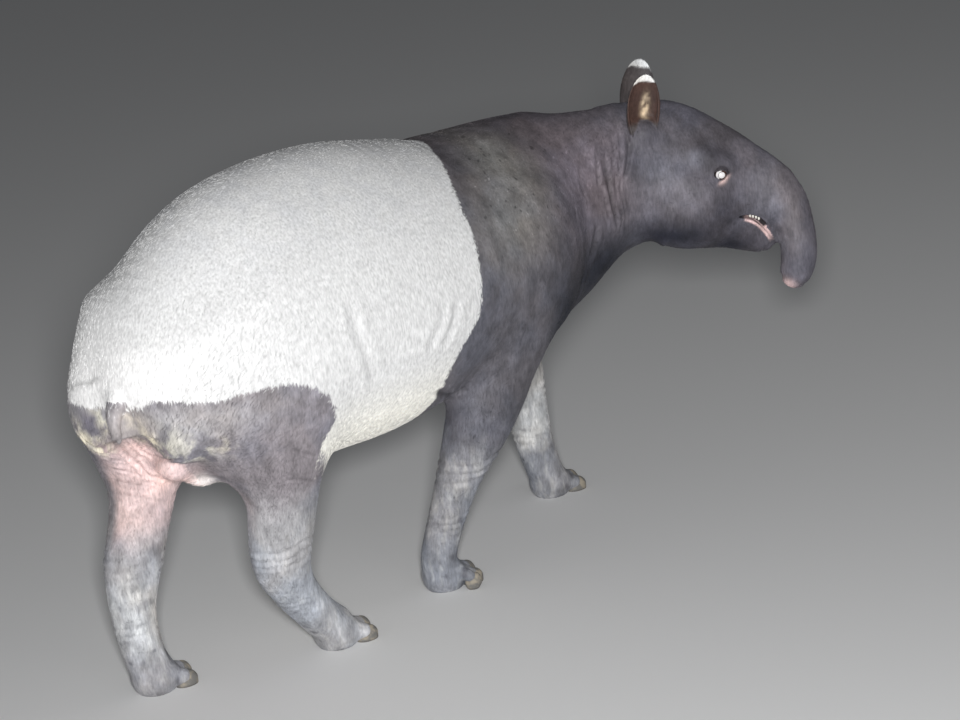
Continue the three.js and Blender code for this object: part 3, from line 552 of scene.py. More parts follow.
# The line of the mouth from its corner to the chin, each h, z, height of the opening
MOUTH = [
    (226, 677, 3),
    (246, 674, 9),
    (266, 664, 12),
    (284, 646, 12),
    (300, 620, 10),
    (311, 592, 8),
    (317, 562, 8),
    (318, 530, 12),
]
MOUTH_DEPTH = 24
MOUTH_BOX = dict(middle=(270, 0, 610), reach=110, softness=4)
SLIT_SOFTNESS = 6
MUZZLE_HALF = 52
LIP = dict(radius=5.5, clear=1.5, sunk=0.45, ends=0.5, points=range(2, 34, 4), softness=5)
BESIDE = 160
mouth_line = spline(MOUTH, 6)
mouth_slope = unit(np.gradient(mouth_line[:, :2], axis=0))


def mouth_edge(i, s, away):
    """The place on the skin beside point i of the mouth line, moved away across the line."""
    h, z = mouth_line[i, :2]
    dh, dz = mouth_slope[i]
    return skin_point(head_point(h - away * dz, s * BESIDE, z + away * dh), -s * head_left)


def mouth_slit(p):
    """Distance to the opened mouth, cut in from both sides."""
    h, l = ((p - head_point(0, 0, 0)) @ head_axes[:2].T).T
    flat = np.column_stack([h, p[:, 2]])
    index, part, gap = nearest_on(mouth_line[:, :2], flat)
    opening = mouth_line[index, 2] + (mouth_line[index + 1, 2] - mouth_line[index, 2]) * part
    return softly_above(gap - opening / 2, MUZZLE_HALF - MOUTH_DEPTH - np.abs(l), SLIT_SOFTNESS)


def lip(s, side):
    """The upper or lower lip of one side, a roll beside the line of the mouth."""
    radius = LIP["radius"]
    chosen = LIP["points"]
    points = []
    radii = []
    for i in chosen:
        away = side * (mouth_line[i, 2] / 2 + LIP["clear"])
        points.append(mouth_edge(i, s, away) - s * head_left * radius * LIP["sunk"])
        radii.append(radius * (LIP["ends"] if i in (chosen[0], chosen[-1]) else 1))
    return strand(points, radii), LIP["softness"]


# Eyes and lids
EYE_PLACE = dict(h=186, z=790, sunk=0.56)
EYE_SLOPE = -0.35
LIDS = [dict(lift=0.88, radius=3.6, out=0.86), dict(lift=-0.80, radius=3.2, out=0.86),
        dict(lift=1.25, radius=4.5, out=0.66)]
LID = dict(places=(-1, -0.7, -0.35, 0, 0.35, 0.7, 1), arch=0.92, reach=0.86, bend=0.18, sunk=0.4, ends=0.6,
           softness=3.5)
SOCKET = dict(gap=0.4, softness=0.6)


def eye_frame(s):
    """An eye's centre, with the directions out, along the slit and up."""
    skin = skin_point(head_point(EYE_PLACE["h"], s * BESIDE, EYE_PLACE["z"]), -s * head_left)
    out = slope(body, skin[None], 1.0)[0][0]
    along = unit(head_ahead + np.array([0, 0, EYE_SLOPE]))
    along = unit(along - out * (along @ out))
    up = np.cross(out, along)
    up = up if up[2] > 0 else -up
    return skin - out * EYE_RADIUS * EYE_PLACE["sunk"], out, along, up


eyes = {s: eye_frame(s) for s in (1, -1)}


def lids(s):
    """The lids round one eye, each a roll on the eyeball."""
    centre, out, along, up = eyes[s]
    for lid in LIDS:
        points = []
        radii = []
        for place in LID["places"]:
            height = lid["lift"] * math.sqrt(1 - LID["arch"] * place**2)
            aim = along * place * LID["reach"] + up * height + out * (lid["out"] - LID["bend"] * place**2)
            points.append(centre + unit(aim) * (EYE_RADIUS + lid["radius"] * LID["sunk"]))
            radii.append(lid["radius"] * (LID["ends"] if abs(place) == 1 else 1))
        yield strand(points, radii), LID["softness"]


# Nostrils at the tip of the proboscis
NOSTRIL = dict(h=362, z=474, apart=13, radii=(7, 5, 13), softness=4)


def nostril(s):
    """One nostril's hollow."""
    place = head_point(NOSTRIL["h"], s * NOSTRIL["apart"], NOSTRIL["z"])
    return ball(place, NOSTRIL["radii"], head_axes), NOSTRIL["softness"]


def socket(s):
    """The hollow that an eyeball sits in."""
    return ball(eyes[s][0], [EYE_RADIUS + SOCKET["gap"]] * 3), SOCKET["softness"]


raised = [lip(s, side) for side in (1, -1) for s in (1, -1)] + [form for s in (1, -1) for form in lids(s)]
mouth_middle = head_point(*MOUTH_BOX["middle"])
slit = Form(mouth_middle - MOUTH_BOX["reach"], mouth_middle + MOUTH_BOX["reach"], mouth_slit)
sunken = [(slit, MOUTH_BOX["softness"]), *both(nostril), *both(socket)]


def detailed(p):
    """Distance to the body with ears, lids, lips, mouth and nostrils."""
    d = body(p)
    for forms, sign in ((raised, 1), (sunken, -1)):
        for form, softness in forms:
            near = np.flatnonzero(form.outside(p) < softness + 2)
            if len(near):
                d[near] = sign * blend(sign * d[near], form.distance(p[near]), softness)
    return d


def coat_depth(p):
    """How far the skin lies inside the solids: least on the face, ears and feet."""
    h = (p - head_point(0, 0, 0)) @ head_ahead
    bare = np.maximum(smooth_step(h, *FACE_START), 1 - smooth_step(p[:, 2], *FOOT_START))
    return COAT_DEPTH + (FACE_COAT_DEPTH - COAT_DEPTH) * bare


def skin_field(p):
    """Distance to the skin, cut off at the floor."""
    return np.maximum(detailed(p) + coat_depth(p), -p[:, 2])


# How coarse the first look at a field is, in cells, and how near its surface the next look is worked out
COARSEST = 8
NEAR_CELLS = 2.6
# How the cells' vertices are settled: rounds, share of each step, and how far from a patch's edge
SETTLE = dict(rounds=2, share=0.5, clear=1.5, returns=2)


def sampled(field, low, high, cell):
    """A grid of a field's values, worked out finely only near its surface."""
    step = COARSEST
    low = np.asarray(low, float)
    count = np.ceil((np.asarray(high) - low) / (cell * step)).astype(int)
    values = None
    while step >= 1:
        shape = count * (COARSEST // step) + 1
        if values is None:
            values = np.zeros(shape)
            near = np.ones(shape, bool)
        else:
            parent = [(np.arange(n) + 1) // 2 for n in shape]
            values = values[np.ix_(*parent)]
            near = np.abs(values) < NEAR_CELLS * cell * step
        places = np.argwhere(near)
        values[near] = field(low + places * cell * step)
        step //= 2
    for axis in range(3):
        edge = np.moveaxis(values, axis, 0)
        edge[0] = edge[-1] = cell
    return np.where(values == 0, TINY, values)


def surface(field, low, high, cell):
    """One vertex in each cell that the surface crosses, joined by four-sided faces."""
    values = sampled(field, low, high, cell)
    inside = values < 0
    corners = np.array([[n & 1, n >> 1 & 1, n >> 2 & 1] for n in range(8)])
    size = np.array(values.shape) - 1
    full = np.zeros(size, int)
    for a, b, c in corners:
        full += inside[a:a + size[0], b:b + size[1], c:c + size[2]]
    crossed = (full > 0) & (full < 8)
    cells = np.argwhere(crossed)
    number = np.full(size, -1)
    number[crossed] = np.arange(len(cells))
    total = np.zeros((len(cells), 3))
    count = np.zeros(len(cells))
    for a in range(8):
        for bit in (1, 2, 4):
            if a & bit:
                continue
            start, end = corners[a], corners[a | bit]
            from_value = values[tuple((cells + start).T)]
            to_value = values[tuple((cells + end).T)]
            cut = (from_value < 0) != (to_value < 0)
            t = from_value[cut] / (from_value[cut] - to_value[cut])
            total[cut] += start + t[:, None] * (end - start)
            count[cut] += 1
    vertices = np.asarray(low) + cell * (cells + total / count[:, None])
    faces = []
    for axis in range(3):
        other = [(axis + 1) % 3, (axis + 2) % 3]
        step = np.eye(3, dtype=int)
        near = np.moveaxis(inside, axis, 0)[:-1]
        far = np.moveaxis(inside, axis, 0)[1:]
        nodes = np.argwhere(near != far)
        place = np.zeros_like(nodes)
        place[:, axis] = nodes[:, 0]
        rest = [k for k in range(3) if k != axis]
        place[:, rest[0]] = nodes[:, 1]
        place[:, rest[1]] = nodes[:, 2]
        b, c = step[other[0]], step[other[1]]
        turn = ((0, 0), (1, 0), (1, 1), (0, 1))
        ring = np.stack([number[tuple((place - m * b - n * c).T)] for m, n in turn], 1)
        leaves = inside[tuple(place.T)]
        faces.append(np.where(leaves[:, None], ring, ring[:, ::-1]))
    return vertices, np.concatenate(faces)


def neighbours_middle(p, a, b):
    """The middle of each vertex's neighbours, from the two ends of every edge."""
    n = len(p)
    count = np.maximum(np.bincount(a, minlength=n) + np.bincount(b, minlength=n), 1)
    total = [np.bincount(a, p[b, k], n) + np.bincount(b, p[a, k], n) for k in range(3)]
    return np.stack(total, 1) / count[:, None]


def settle(field, zone, vertices, faces, cell):
    """Evens out the vertices among their neighbours and sets them back on the skin."""
    a = faces.ravel()
    b = np.roll(faces, -1, axis=1).ravel()
    free = np.abs(zone(vertices)) > SETTLE["clear"] * cell
    for _ in range(SETTLE["rounds"]):
        moved = vertices + SETTLE["share"] * (neighbours_middle(vertices, a, b) - vertices)
        for _ in range(SETTLE["returns"]):
            out, off = slope(field, moved[free])
            moved[free] -= out * np.clip(off, -cell, cell)[:, None]
        vertices = np.where(free[:, None], moved, vertices)
    return vertices


def mesh_object(name, vertices, faces):
    """A mesh object from millimetres in the source's frame."""
    mesh = bpy.data.meshes.new(name)
    faces = faces.tolist() if isinstance(faces, np.ndarray) else faces
    mesh.from_pydata(((np.asarray(vertices) + shift) * MM).tolist(), [], faces)
    mesh.update()
    piece = bpy.data.objects.new(name, mesh)
    bpy.context.scene.collection.objects.link(piece)
    return piece


# The source centres its model: the right eye's node shows where that puts it
eye_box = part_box("eye_right")
shift = np.array((eye_box[0] + eye_box[1]) / 2) / MM - eyes[-1][0]

# Skin patches, each drawn at its own fineness inside its zone, with a small overlap
OVERLAP = 14
HEAD_BACK = head_point(-50, 0, 800)
FOOT_TOP = 118
EYE_PATCH = 36
EYE_HOLE = 31
EYE_BOX = 40
TRUNK_BOX = ((-110, -420, 90), (1640, 420, 1150))
HEAD_BOX = dict(h=130, low=430, high=1000, around=(270, 270, 0))
FOOT_BOX = dict(low=(-170, -110, -12), high=(150, 110, 150))
CELL = dict(trunk=7, head=3.4, eye=1.4, foot=3.4)


def behind_head(p):
    """How far ahead of the head's hind edge each place is."""
    return (p - HEAD_BACK) @ head_ahead


def patches():
    """Zones of the skin: name, box and a distance that is negative inside."""

    def away(p, s):
        return np.linalg.norm(p - eyes[s][0], axis=1)

    def trunk_zone(p):
        return np.maximum(behind_head(p), FOOT_TOP - OVERLAP - p[:, 2])

    def head_zone(p):
        return np.maximum.reduce([-behind_head(p) - OVERLAP] + [EYE_HOLE - away(p, s) for s in (1, -1)])

    yield "trunk", *TRUNK_BOX, trunk_zone
    low = head_point(HEAD_BOX["h"], 0, HEAD_BOX["low"]) - HEAD_BOX["around"]
    high = head_point(HEAD_BOX["h"], 0, HEAD_BOX["high"]) + HEAD_BOX["around"]
    yield "head", low, high, head_zone
    for s in (1, -1):
        yield "eye", eyes[s][0] - EYE_BOX, eyes[s][0] + EYE_BOX, lambda p, s=s: away(p, s) - EYE_PATCH
    for leg in LEGS.values():
        foot = np.array([leg["foot"][0], leg["foot"][1] * leg["side"], 0])
        yield "foot", foot + FOOT_BOX["low"], foot + FOOT_BOX["high"], lambda p: p[:, 2] - FOOT_TOP


def joined(pieces):
    """The first piece, made one surface with all the others."""
    whole = pieces[0]
    others = bpy.data.collections.new("others")
    for piece in pieces[1:]:
        others.objects.link(piece)
    join = whole.modifiers.new("join", "BOOLEAN")
    join.operation = "UNION"
    join.operand_type = "COLLECTION"
    join.collection = others
    join.solver = "MANIFOLD"
    graph = bpy.context.evaluated_depsgraph_get()
    mesh = bpy.data.meshes.new_from_object(whole.evaluated_get(graph))
    for piece in pieces:
        bpy.data.objects.remove(piece)
    bpy.data.collections.remove(others)
    return mesh


def skin_patches():
    """Each patch of the skin as a closed object, and the two ears."""
    for name, low, high, zone in patches():
        cell = CELL[name] * COARSE
        vertices, faces = surface(lambda p: np.maximum(skin_field(p), zone(p)), low, high, cell)
        vertices = settle(skin_field, zone, vertices, faces, cell)
        yield mesh_object("skin_" + name, vertices, faces)
    for s in (1, -1):
        yield mesh_object("skin_ear", *ear_shell(s))


def places_of(mesh):
    """A mesh's vertices as millimetres in the source's frame."""
    co = np.empty(len(mesh.vertices) * 3, np.float32)
    mesh.vertices.foreach_get("co", co)
    return co.reshape(-1, 3).astype(float) / MM - shift


def set_places(mesh, p):
    """Moves a mesh's vertices to places in the source's frame."""
    mesh.vertices.foreach_set("co", ((p + shift) * MM).astype(np.float32).ravel())
    mesh.update()


def normals_of(mesh):
    """The direction out of the mesh at each vertex."""
    n = np.empty(len(mesh.vertices) * 3, np.float32)
    mesh.vertex_normals.foreach_get("vector", n)
    return n.reshape(-1, 3).astype(float)


def edges_of(mesh):
    """The two vertices of each edge."""
    pairs = np.empty(len(mesh.edges) * 2, np.int64)
    mesh.edges.foreach_get("vertices", pairs)
    return pairs.reshape(-1, 2)


# How ridges of the whole skin are smoothed out: rounds, and the shares of a step in and a step back
EVEN_ROUNDS = 14
PULL_IN = 0.5
PUSH_BACK = -0.53


def evened(p, pairs, weight, rounds):
    """Smooths out ridges without shrinking, by pairs of steps that pull in and push back."""
    a, b = pairs.T
    for _ in range(rounds):
        for step in (PULL_IN, PUSH_BACK):
            p = p + step * weight[:, None] * (neighbours_middle(p, a, b) - p)
    return p


def near_line(p, line, reach):
    """The points within reach of a line, with their distance to it and how far along it they are."""
    box = ((p > line.min(0) - reach) & (p < line.max(0) + reach)).all(1)
    chosen = np.flatnonzero(box)
    index, part, gap = nearest_on(line, p[chosen])
    close = gap < reach
    return chosen[close], gap[close], ((index + part) / (len(line) - 1))[close]


# Folds of the skin, laid on it through picture points of the photograph. Each has how many sides
# it comes on, its width and depth in millimetres, how dark its painted shade is, and its points
CAMERA = dict(place=(-3200, -4120, 2350), yaw=46.0, pitch=-17.8, roll=6.0, lens=100.8)
PICTURE_MIDDLE = (480, 360)
PICTURE_SCALE = 2688
FOLDS = {
    "neck_by_ear": (2, 5, 4.3, 1, [(626, 126), (628, 145), (627, 166), (623, 182)]),
    "neck_behind_jaw": (2, 5, 4.0, 1, [(632, 140), (630, 158), (627, 178)]),
    "neck_long": (2, 6, 5, 1, [(604, 152), (607, 176), (612, 195), (616, 213), (618, 229)]),
    "neck_fine_1": (2, 4, 2.7, 1, [(619, 130), (621, 155), (617, 178), (612, 190)]),
    "neck_fine_2": (2, 4, 2.7, 1, [(612, 134), (614, 160), (609, 180)]),
    "neck_fine_3": (2, 4, 2.4, 1, [(598, 140), (597, 165), (600, 190)]),
    "neck_mid": (2, 5, 2.6, 1, [(580, 160), (582, 183), (587, 198)]),
    "neck_mid_low": (2, 5, 1.4, 1, [(575, 190), (577, 215), (583, 240)]),
    "throat_roll": (2, 9, 6, 0.5, [(600, 222), (597, 236), (593, 252), (587, 270), (580, 290)]),
    "chest_roll": (2, 8, 3, 0.4, [(584, 276), (580, 296), (569, 314), (560, 330)]),
    "flank_1": (2, 14, 3.5, 0.12, [(349, 296), (357, 330), (370, 360), (377, 392)]),
    "flank_2": (2, 12, 3, 0.12, [(446, 306), (440, 330), (428, 352)]),
    "flank_3": (2, 11, 3, 0.12, [(460, 300), (453, 328), (442, 350)]),
    "elbow": (2, 9, 5, 1, [(437, 391), (446, 396), (456, 394), (468, 388)]),
    "elbow_front": (2, 12, 1.2, 0.12, [(520, 372), (530, 352), (540, 340)]),
    "buttock_left": (1, 5, 6, 1, [
        (70, 421), (78, 434), (87, 444), (98, 450), (107, 447), (119, 441), (125, 437)]),
    "buttock_right": (1, 5, 6, 1, [
        (125, 437), (131, 440), (139, 448), (146, 455), (160, 459), (174, 461), (190, 462)]),
    "groin": (1, 5, 5, 1, [(119, 443), (126, 455), (139, 466), (146, 475), (160, 480), (180, 482)]),
    "pouch": (1, 3, 2, 1, [(157, 476), (158, 467), (164, 460)]),
    "flank_behind_1": (1, 4, 2.5, 1, [(292, 449), (305, 453), (318, 457)]),
    "flank_behind_2": (1, 4, 2.5, 1, [(285, 481), (300, 480), (318, 482)]),
    "thigh_1": (1, 4, 1.6, 1, [(96, 456), (112, 461), (134, 465), (150, 478)]),
    "thigh_2": (1, 4, 1.6, 1, [(100, 466), (118, 471), (140, 476), (160, 486)]),
    "thigh_3": (1, 4, 1.4, 1, [(104, 478), (124, 483), (146, 487), (168, 493)]),
    "thigh_4": (1, 4, 1.2, 1, [(108, 492), (128, 496), (150, 499), (172, 503)]),
}
# Rings round the legs, by height, and the fine wrinkles of the inner thighs and behind the ears
RING_HEIGHTS = dict(foreleg=(150, 166, 182, 262, 280, 300), hindleg=(128, 145, 162, 262, 284, 306))
RING = dict(width=5, depth=1.8)
THIGH_WRINKLES = dict(depth=0.7, length=3.2, rising=(320, 380), falling=(540, 600), ahead=(180, 240))
NECK_WRINKLES = dict(depth=1.3, length=1.9, place=22, reach=34, rising=(640, 720), falling=(850, 900))
# How a picture point is followed to the body: first distance, steps and share of each step
SIGHT = dict(start=3600, steps=70, share=0.8)
LINE_STEPS = 5
RETURNS = 6
# A crease's swell beside it, how far it reaches, its fade at both ends and the painted shade in its middle
SWELL = dict(height=0.45, place=1.9, width=0.8)
FOLD_REACH = 4
FOLD_ENDS = ((0, 0.18), (0.8, 1))
FOLD_SHADE = dict(narrow=1.3, full_depth=3)
FINE_REACH = dict(widths=3.2, more=6)
# Slow waves, each as size and height, for the wrinkles and for the edges of the tones
WRINKLE_WAVES = ((60, 14), (22, 5))
TONE_WAVES = ((90, 26), (34, 12))


def waves(p, rows):
    """A few noises of different sizes and heights, added up."""
    return sum(noise(p, size) * height for size, height in rows)


def camera_axes():
    """The camera's right, up and ahead."""
    yaw, pitch, roll = (math.radians(CAMERA[k]) for k in ("yaw", "pitch", "roll"))
    ahead = np.array([math.sin(yaw) * math.cos(pitch), math.cos(yaw) * math.cos(pitch), math.sin(pitch)])
    right = np.array([math.cos(yaw), -math.sin(yaw), 0])
    up = np.cross(right, ahead)
    return (right * math.cos(roll) - up * math.sin(roll), right * math.sin(roll) + up * math.cos(roll), ahead)


def seen_at(points):
    """The places of the body behind points of the photograph."""
    right, up, ahead = camera_axes()
    picture = (np.asarray(points, float) - PICTURE_MIDDLE) / PICTURE_SCALE
    away = unit(ahead + picture[:, :1] * right - picture[:, 1:] * up)
    p = np.array(CAMERA["place"]) + away * SIGHT["start"]
    for _ in range(SIGHT["steps"]):
        p = p + away * body(p)[:, None] * SIGHT["share"]
    return p


def on_body(p):
    """The places of the body nearest to some points."""
    for _ in range(RETURNS):
        out, off = slope(body, p, 1.0)
        p = p - out * off[:, None]
    return p


def fold_lines():
    """Each fold as a line of places on the skin, with its width, depth and shade."""
    for sides, width, depth, shade, points in FOLDS.values():
        line = seen_at(spline(points, LINE_STEPS))
        yield line, width, depth, shade
        if sides == 2:
            yield on_body(line * [1, -1, 1]), width, depth, shade


def groove(gap, width, depth):
    """A crease with a low swell on each side of it."""
    swell = SWELL["height"] * np.exp(-((gap / width - SWELL["place"]) ** 2) / SWELL["width"])
    return depth * (swell - bell(gap, 0, width))


def crease_at(p, folds):
    """How far the folds raise the skin, and how much painted shade each place gets in a crease, from 0 to 1.
    """
    rise = np.zeros(len(p))
    dark = np.zeros(len(p))
    for line, width, depth, shade in folds:
        chosen, gap, along = near_line(p, line, width * FOLD_REACH)
        fade = band(along, *FOLD_ENDS)
        rise[chosen] += fade * groove(gap, width, depth)
        deep = min(depth / FOLD_SHADE["full_depth"], 1)
        painted_shade = fade * bell(gap * FOLD_SHADE["narrow"], 0, width) * deep * shade
        dark[chosen] = np.maximum(dark[chosen], painted_shade)
    return rise, dark


def leg_of(p):
    """For each place the nearest leg, and how far the place is from its middle line."""
    gaps = []
    for leg in LEGS.values():
        rows = np.array([(x, y * leg["side"], z) for x, y, z, *_ in leg["rows"]], float)
        gaps.append(nearest_on(rows, p)[2])
    return np.argmin(gaps, axis=0), np.min(gaps, axis=0)


def fine_wrinkles(p, leg):
    """Small wrinkles that run round the legs, over the inner thighs and down the neck."""
    rise = np.zeros(len(p))
    z = p[:, 2]
    wave = waves(p, WRINKLE_WAVES)
    uneven = noise(p, 45)
    strength = 0.4 + 0.6 * smooth_step(uneven, -0.3, 0.5)
    for number, name in enumerate(LEGS):
        mine = leg == number
        for height in RING_HEIGHTS[name.split("_")[0]]:
            gap = np.abs(z - height + wave * 0.6)
            rise[mine] += (groove(gap, RING["width"], RING["depth"]) * strength)[mine]
    row = NECK_WRINKLES
    near = bell(behind_head(p), -row["place"], row["reach"]) * band(z, row["rising"], row["falling"])
    rise += near * row["depth"] * np.sin((behind_head(p) + wave * 0.6) / row["length"])
    row = THIGH_WRINKLES
    near = band(z, row["rising"], row["falling"]) * (1 - smooth_step(p[:, 0], *row["ahead"]))
    return rise + near * row["depth"] * np.sin((z + wave) / row["length"]) * smooth_step(uneven, -0.4, 0.4)


# Markings. The white saddle is bounded in side view, in x and z, alike on both sides.
SADDLE_FRONT = [
    (300, 690), (450, 690), (533, 695), (579, 705), (619, 728), (650, 758), (672, 781), (708, 793),
    (755, 805), (810, 818), (845, 824), (892, 829), (936, 844), (970, 871), (991, 896), (1010, 957),
    (1100, 985),
]
DARK_REAR = [
    (-220, 655), (0, 660), (24, 690), (61, 685), (103, 680), (143, 691), (192, 691), (246, 685),
    (299, 662), (331, 632), (352, 596), (357, 564), (332, 540), (323, 523), (316, 470), (330, 380),
    (420, 200), (560, -60), (-220, -60),
]
WHITE_BELLY = dict(half=48, rear=215, top=545)
LEG_DARK_TOP = 545
LEG_DARK_REACH = 9
TAIL_DARK = dict(reach=3, top=690)
tail_mass = loft(TAIL[1:], side=(0, 1, 0), cap=8)
leg_masses = {name: next(leg_forms(leg))[0] for name, leg in LEGS.items()}

# Tones of hide and fur
TONES = dict(
    # The brightest saddle tone is painted light low on the rump; the grey saddle tone is partly painted shade
    # over the back.
    saddle=(0.725, 0.725, 0.725), saddle_low=(0.97, 0.95, 0.88), saddle_painted_light=(0.92, 0.915, 0.91),
    saddle_grey_and_shade=(0.52, 0.53, 0.56), shoulder=(0.125, 0.123, 0.142), withers=(0.085, 0.073, 0.082),
    # The near-black chest tone is dark skin deepened by painted shade between the neck and the forelegs.
    neck=(0.175, 0.148, 0.168), olive=(0.27, 0.262, 0.24), chest=(0.012, 0.014, 0.022),
    arm=(0.105, 0.104, 0.12), head=(0.135, 0.128, 0.152), crown=(0.088, 0.083, 0.096),
    # The near-black jaw tone is dark skin deepened by painted shade below the head; the paler snout tone is
    # partly a painted highlight.
    cheek=(0.155, 0.153, 0.182), jaw=(0.012, 0.013, 0.022), snout=(0.2, 0.185, 0.2),
    thigh=(0.235, 0.222, 0.245), rump=(0.39, 0.37, 0.37), shank_fore=(0.265, 0.275, 0.3),
    shank_near=(0.4, 0.415, 0.44), shank_far=(0.33, 0.33, 0.345), pale=(0.6, 0.6, 0.585),
    pink=(0.94, 0.7, 0.66), inner=(0.64, 0.505, 0.495), mud=(0.84, 0.79, 0.63),
    flesh_white=(1.0, 0.95, 0.92), dark_spot=(0.16, 0.15, 0.2), lip=(0.8, 0.58, 0.56),
    # The cream tone is a painted highlight in the ear cups.
    ear=(0.075, 0.065, 0.065), cup=(0.066, 0.034, 0.026), cream=(1.0, 0.8, 0.55), rim=(0.84, 0.84, 0.82),
    # The near-black gape tone is painted shade inside the mouth.
    gape_shade=(0.012, 0.008, 0.01), soot=(0.035, 0.03, 0.035),
)
# Patches on the trunk and neck: x, z, reach along, reach up, tone, strength
TRUNK_PATCHES = [
    (1290, 850, 190, 170, "neck", 0.9), (1000, 985, 230, 70, "withers", 0.95),
    (1290, 985, 230, 50, "withers", 0.7), (960, 830, 130, 90, "olive", 0.6),
    # The two chest patches, near black, are dark skin deepened by painted shade between the neck and the
    # forelegs.
    (1060, 900, 90, 50, "olive", 0.4), (1320, 600, 170, 110, "chest", 0.95),
    (1145, 565, 105, 120, "chest", 0.9), (1030, 945, 80, 45, "olive", 0.7),
    (950, 450, 120, 130, "arm", 0.6),
]
REAR_PATCHES = [
    (60, 640, 150, 50, "rump", 0.95), (230, 600, 110, 60, "thigh", 0.5),
]
# Patches on the head: h, z, reach along, reach up, tone, strength
HEAD_PATCHES = [
    # The near-black jaw patches are dark skin deepened by painted shade below the head; the paler snout
    # patches are partly a painted highlight along the proboscis.
    (60, 815, 60, 50, "cheek", 0.9), (110, 760, 50, 40, "cheek", 0.6), (150, 872, 130, 44, "crown", 0.95),
    (30, 930, 80, 40, "crown", 0.9), (186, 822, 34, 22, "crown", 0.7), (128, 832, 26, 18, "cheek", 0.7),
    (182, 832, 30, 20, "soot", 0.45), (176, 722, 30, 46, "jaw", 0.55), (262, 700, 26, 30, "jaw", 0.4),
    (310, 700, 24, 60, "cheek", 0.7), (60, 655, 150, 46, "jaw", 0.95), (200, 600, 90, 44, "jaw", 0.95),
    (215, 690, 40, 24, "jaw", 0.5), (300, 745, 40, 60, "snout", 0.8), (352, 640, 30, 90, "snout", 0.8),
]
# Spots, each a place and its reach: dried mud, bare pink and white skin, and dark spots
MUD = [
    ((24, 130, 585), 34), ((24, 95, 572), 26), ((8, 40, 640), 30), ((14, 60, 668), 22),
    ((46, -40, 600), 34), ((78, -84, 588), 40), ((104, -116, 580), 34), ((40, -20, 655), 26),
    ((140, -150, 585), 26),
]
PINK = [
    ((70, 20, 548), 44), ((104, -10, 510), 50), ((125, 30, 480), 44), ((96, 70, 500), 40),
]
GROIN_WHITE = [
    ((178, -22, 470), 32), ((205, -20, 448), 28),
]
DARK_SPOTS = [
    ((6, 92, 628), 24), ((20, 120, 566), 8),
]


# Edges of the tones, as the values between which each one fades, and their strengths
REAR_END = (420, 560)
SHANKS = ("shank_fore", "shank_fore", "shank_near", "shank_far")
SHANK = dict(fore=(240, 400), hind=(330, 470), strength=0.85)
DUST = dict(amount=(-0.1, 1.1), top=(240, 440), strength=0.3, most=0.85)
FAR_FORE = dict(rising=(130, 190), falling=(330, 450), strength=1.5)
FAR_HIND = dict(rising=(40, 130), falling=(190, 330), strength=1)
SOOT = dict(amount=(0.5, 1.0), top=(160, 300), strength=0.6)
FACE_FADE = (-70, 0)
CHIN_LEVEL = 450
INNER = dict(legs=(0, 0, 0.2, 1), facing=(0, 0.5), rising=(300, 400), falling=(540, 600), ahead=330)
SMEAR = (-0.5, 0.5)
SADDLE_FADE = dict(low=(480, 640), back=(820, 1030), patchy=(-0.6, 0.8), behind=(20, 130), under=(740, 860))
LEG_REACH = 130


def side_distance(x, z, outline):
    """Distance in side view to a closed outline, positive outside it."""
    points = np.array(outline, float)
    flat = np.column_stack([x, z])
    closed = np.vstack([points, points[:1]])
    _, _, gap = nearest_on(closed, flat)
    inside = np.zeros(len(x), bool)
    for (x0, z0), (x1, z1) in zip(closed[:-1], closed[1:]):
        crosses = (z0 > z) != (z1 > z)
        level = x0 + (z - z0) * (x1 - x0) / (z1 - z0 if z1 != z0 else 1)
        inside ^= crosses & (x < level)
    return np.where(inside, -gap, gap)


def saddle_at(p):
    """Distance in millimetres to the edge of the white saddle, positive on the white."""
    x, y, z = p.T
    heights, edge = np.array(SADDLE_FRONT, float).T
    d = np.minimum(np.interp(z, heights, edge) - x, side_distance(x, z, DARK_REAR))
    on_leg = np.minimum(*(leg_masses[name].distance(p) for name in ("hindleg_right", "hindleg_left")))
    d = np.minimum(d, np.where(z < LEG_DARK_TOP, on_leg - LEG_DARK_REACH, d))
    within = np.minimum(WHITE_BELLY["half"] - np.abs(y), x - WHITE_BELLY["rear"])
    belly = np.minimum(within, WHITE_BELLY["top"] - z)
    belly = np.minimum(belly, np.interp(z, heights, edge) - x)
    d = np.maximum(d, belly)
    return np.where(z < TAIL_DARK["top"], np.minimum(d, tail_mass.distance(p) - TAIL_DARK["reach"]), d)


# The middle of the most worn hide in side view, and how far the wear reaches
WORN = dict(place=(1060, 880), reach=(270, 170))


def worn_at(p):
    """How worn and scratched the hide is: most on the shoulders and withers."""
    away = (p[:, [0, 2]] - WORN["place"]) / WORN["reach"]
    return np.exp(-(away**2).sum(1))


def mixed(tone, other, weight):
    """A tone with another laid over it."""
    return tone + (np.asarray(other) - tone) * np.asarray(weight)[:, None]


def patch_weight(a, b, row, warp):
    """How strongly a patch of tone covers each place."""
    u = (a - row[0] + warp) / row[2]
    v = (b - row[1] + warp * 0.5) / row[3]
    return row[5] * np.exp(-(u * u + v * v))


def spots(p, places, warp):
    """How strongly each place lies in any of the round spots given."""
    total = np.zeros(len(p))
    for place, reach in places:
        near = np.exp(-((np.maximum(np.linalg.norm(p - place, axis=1) + warp, 0) / reach) ** 2))
        total = np.maximum(total, near)
    return total


def trunk_tone(p, warp):
    """The dark coat of trunk and neck, and of the hindquarters."""
    x, z = p[:, 0], p[:, 2]
    tone = np.broadcast_to(TONES["shoulder"], p.shape)
    for row in TRUNK_PATCHES:
        tone = mixed(tone, TONES[row[4]], patch_weight(x, z, row, warp))
    rear = 1 - smooth_step(x, *REAR_END)
    tone = mixed(tone, TONES["thigh"], rear)
    for row in REAR_PATCHES:
        tone = mixed(tone, TONES[row[4]], rear * patch_weight(x, z, row, warp))
    return tone


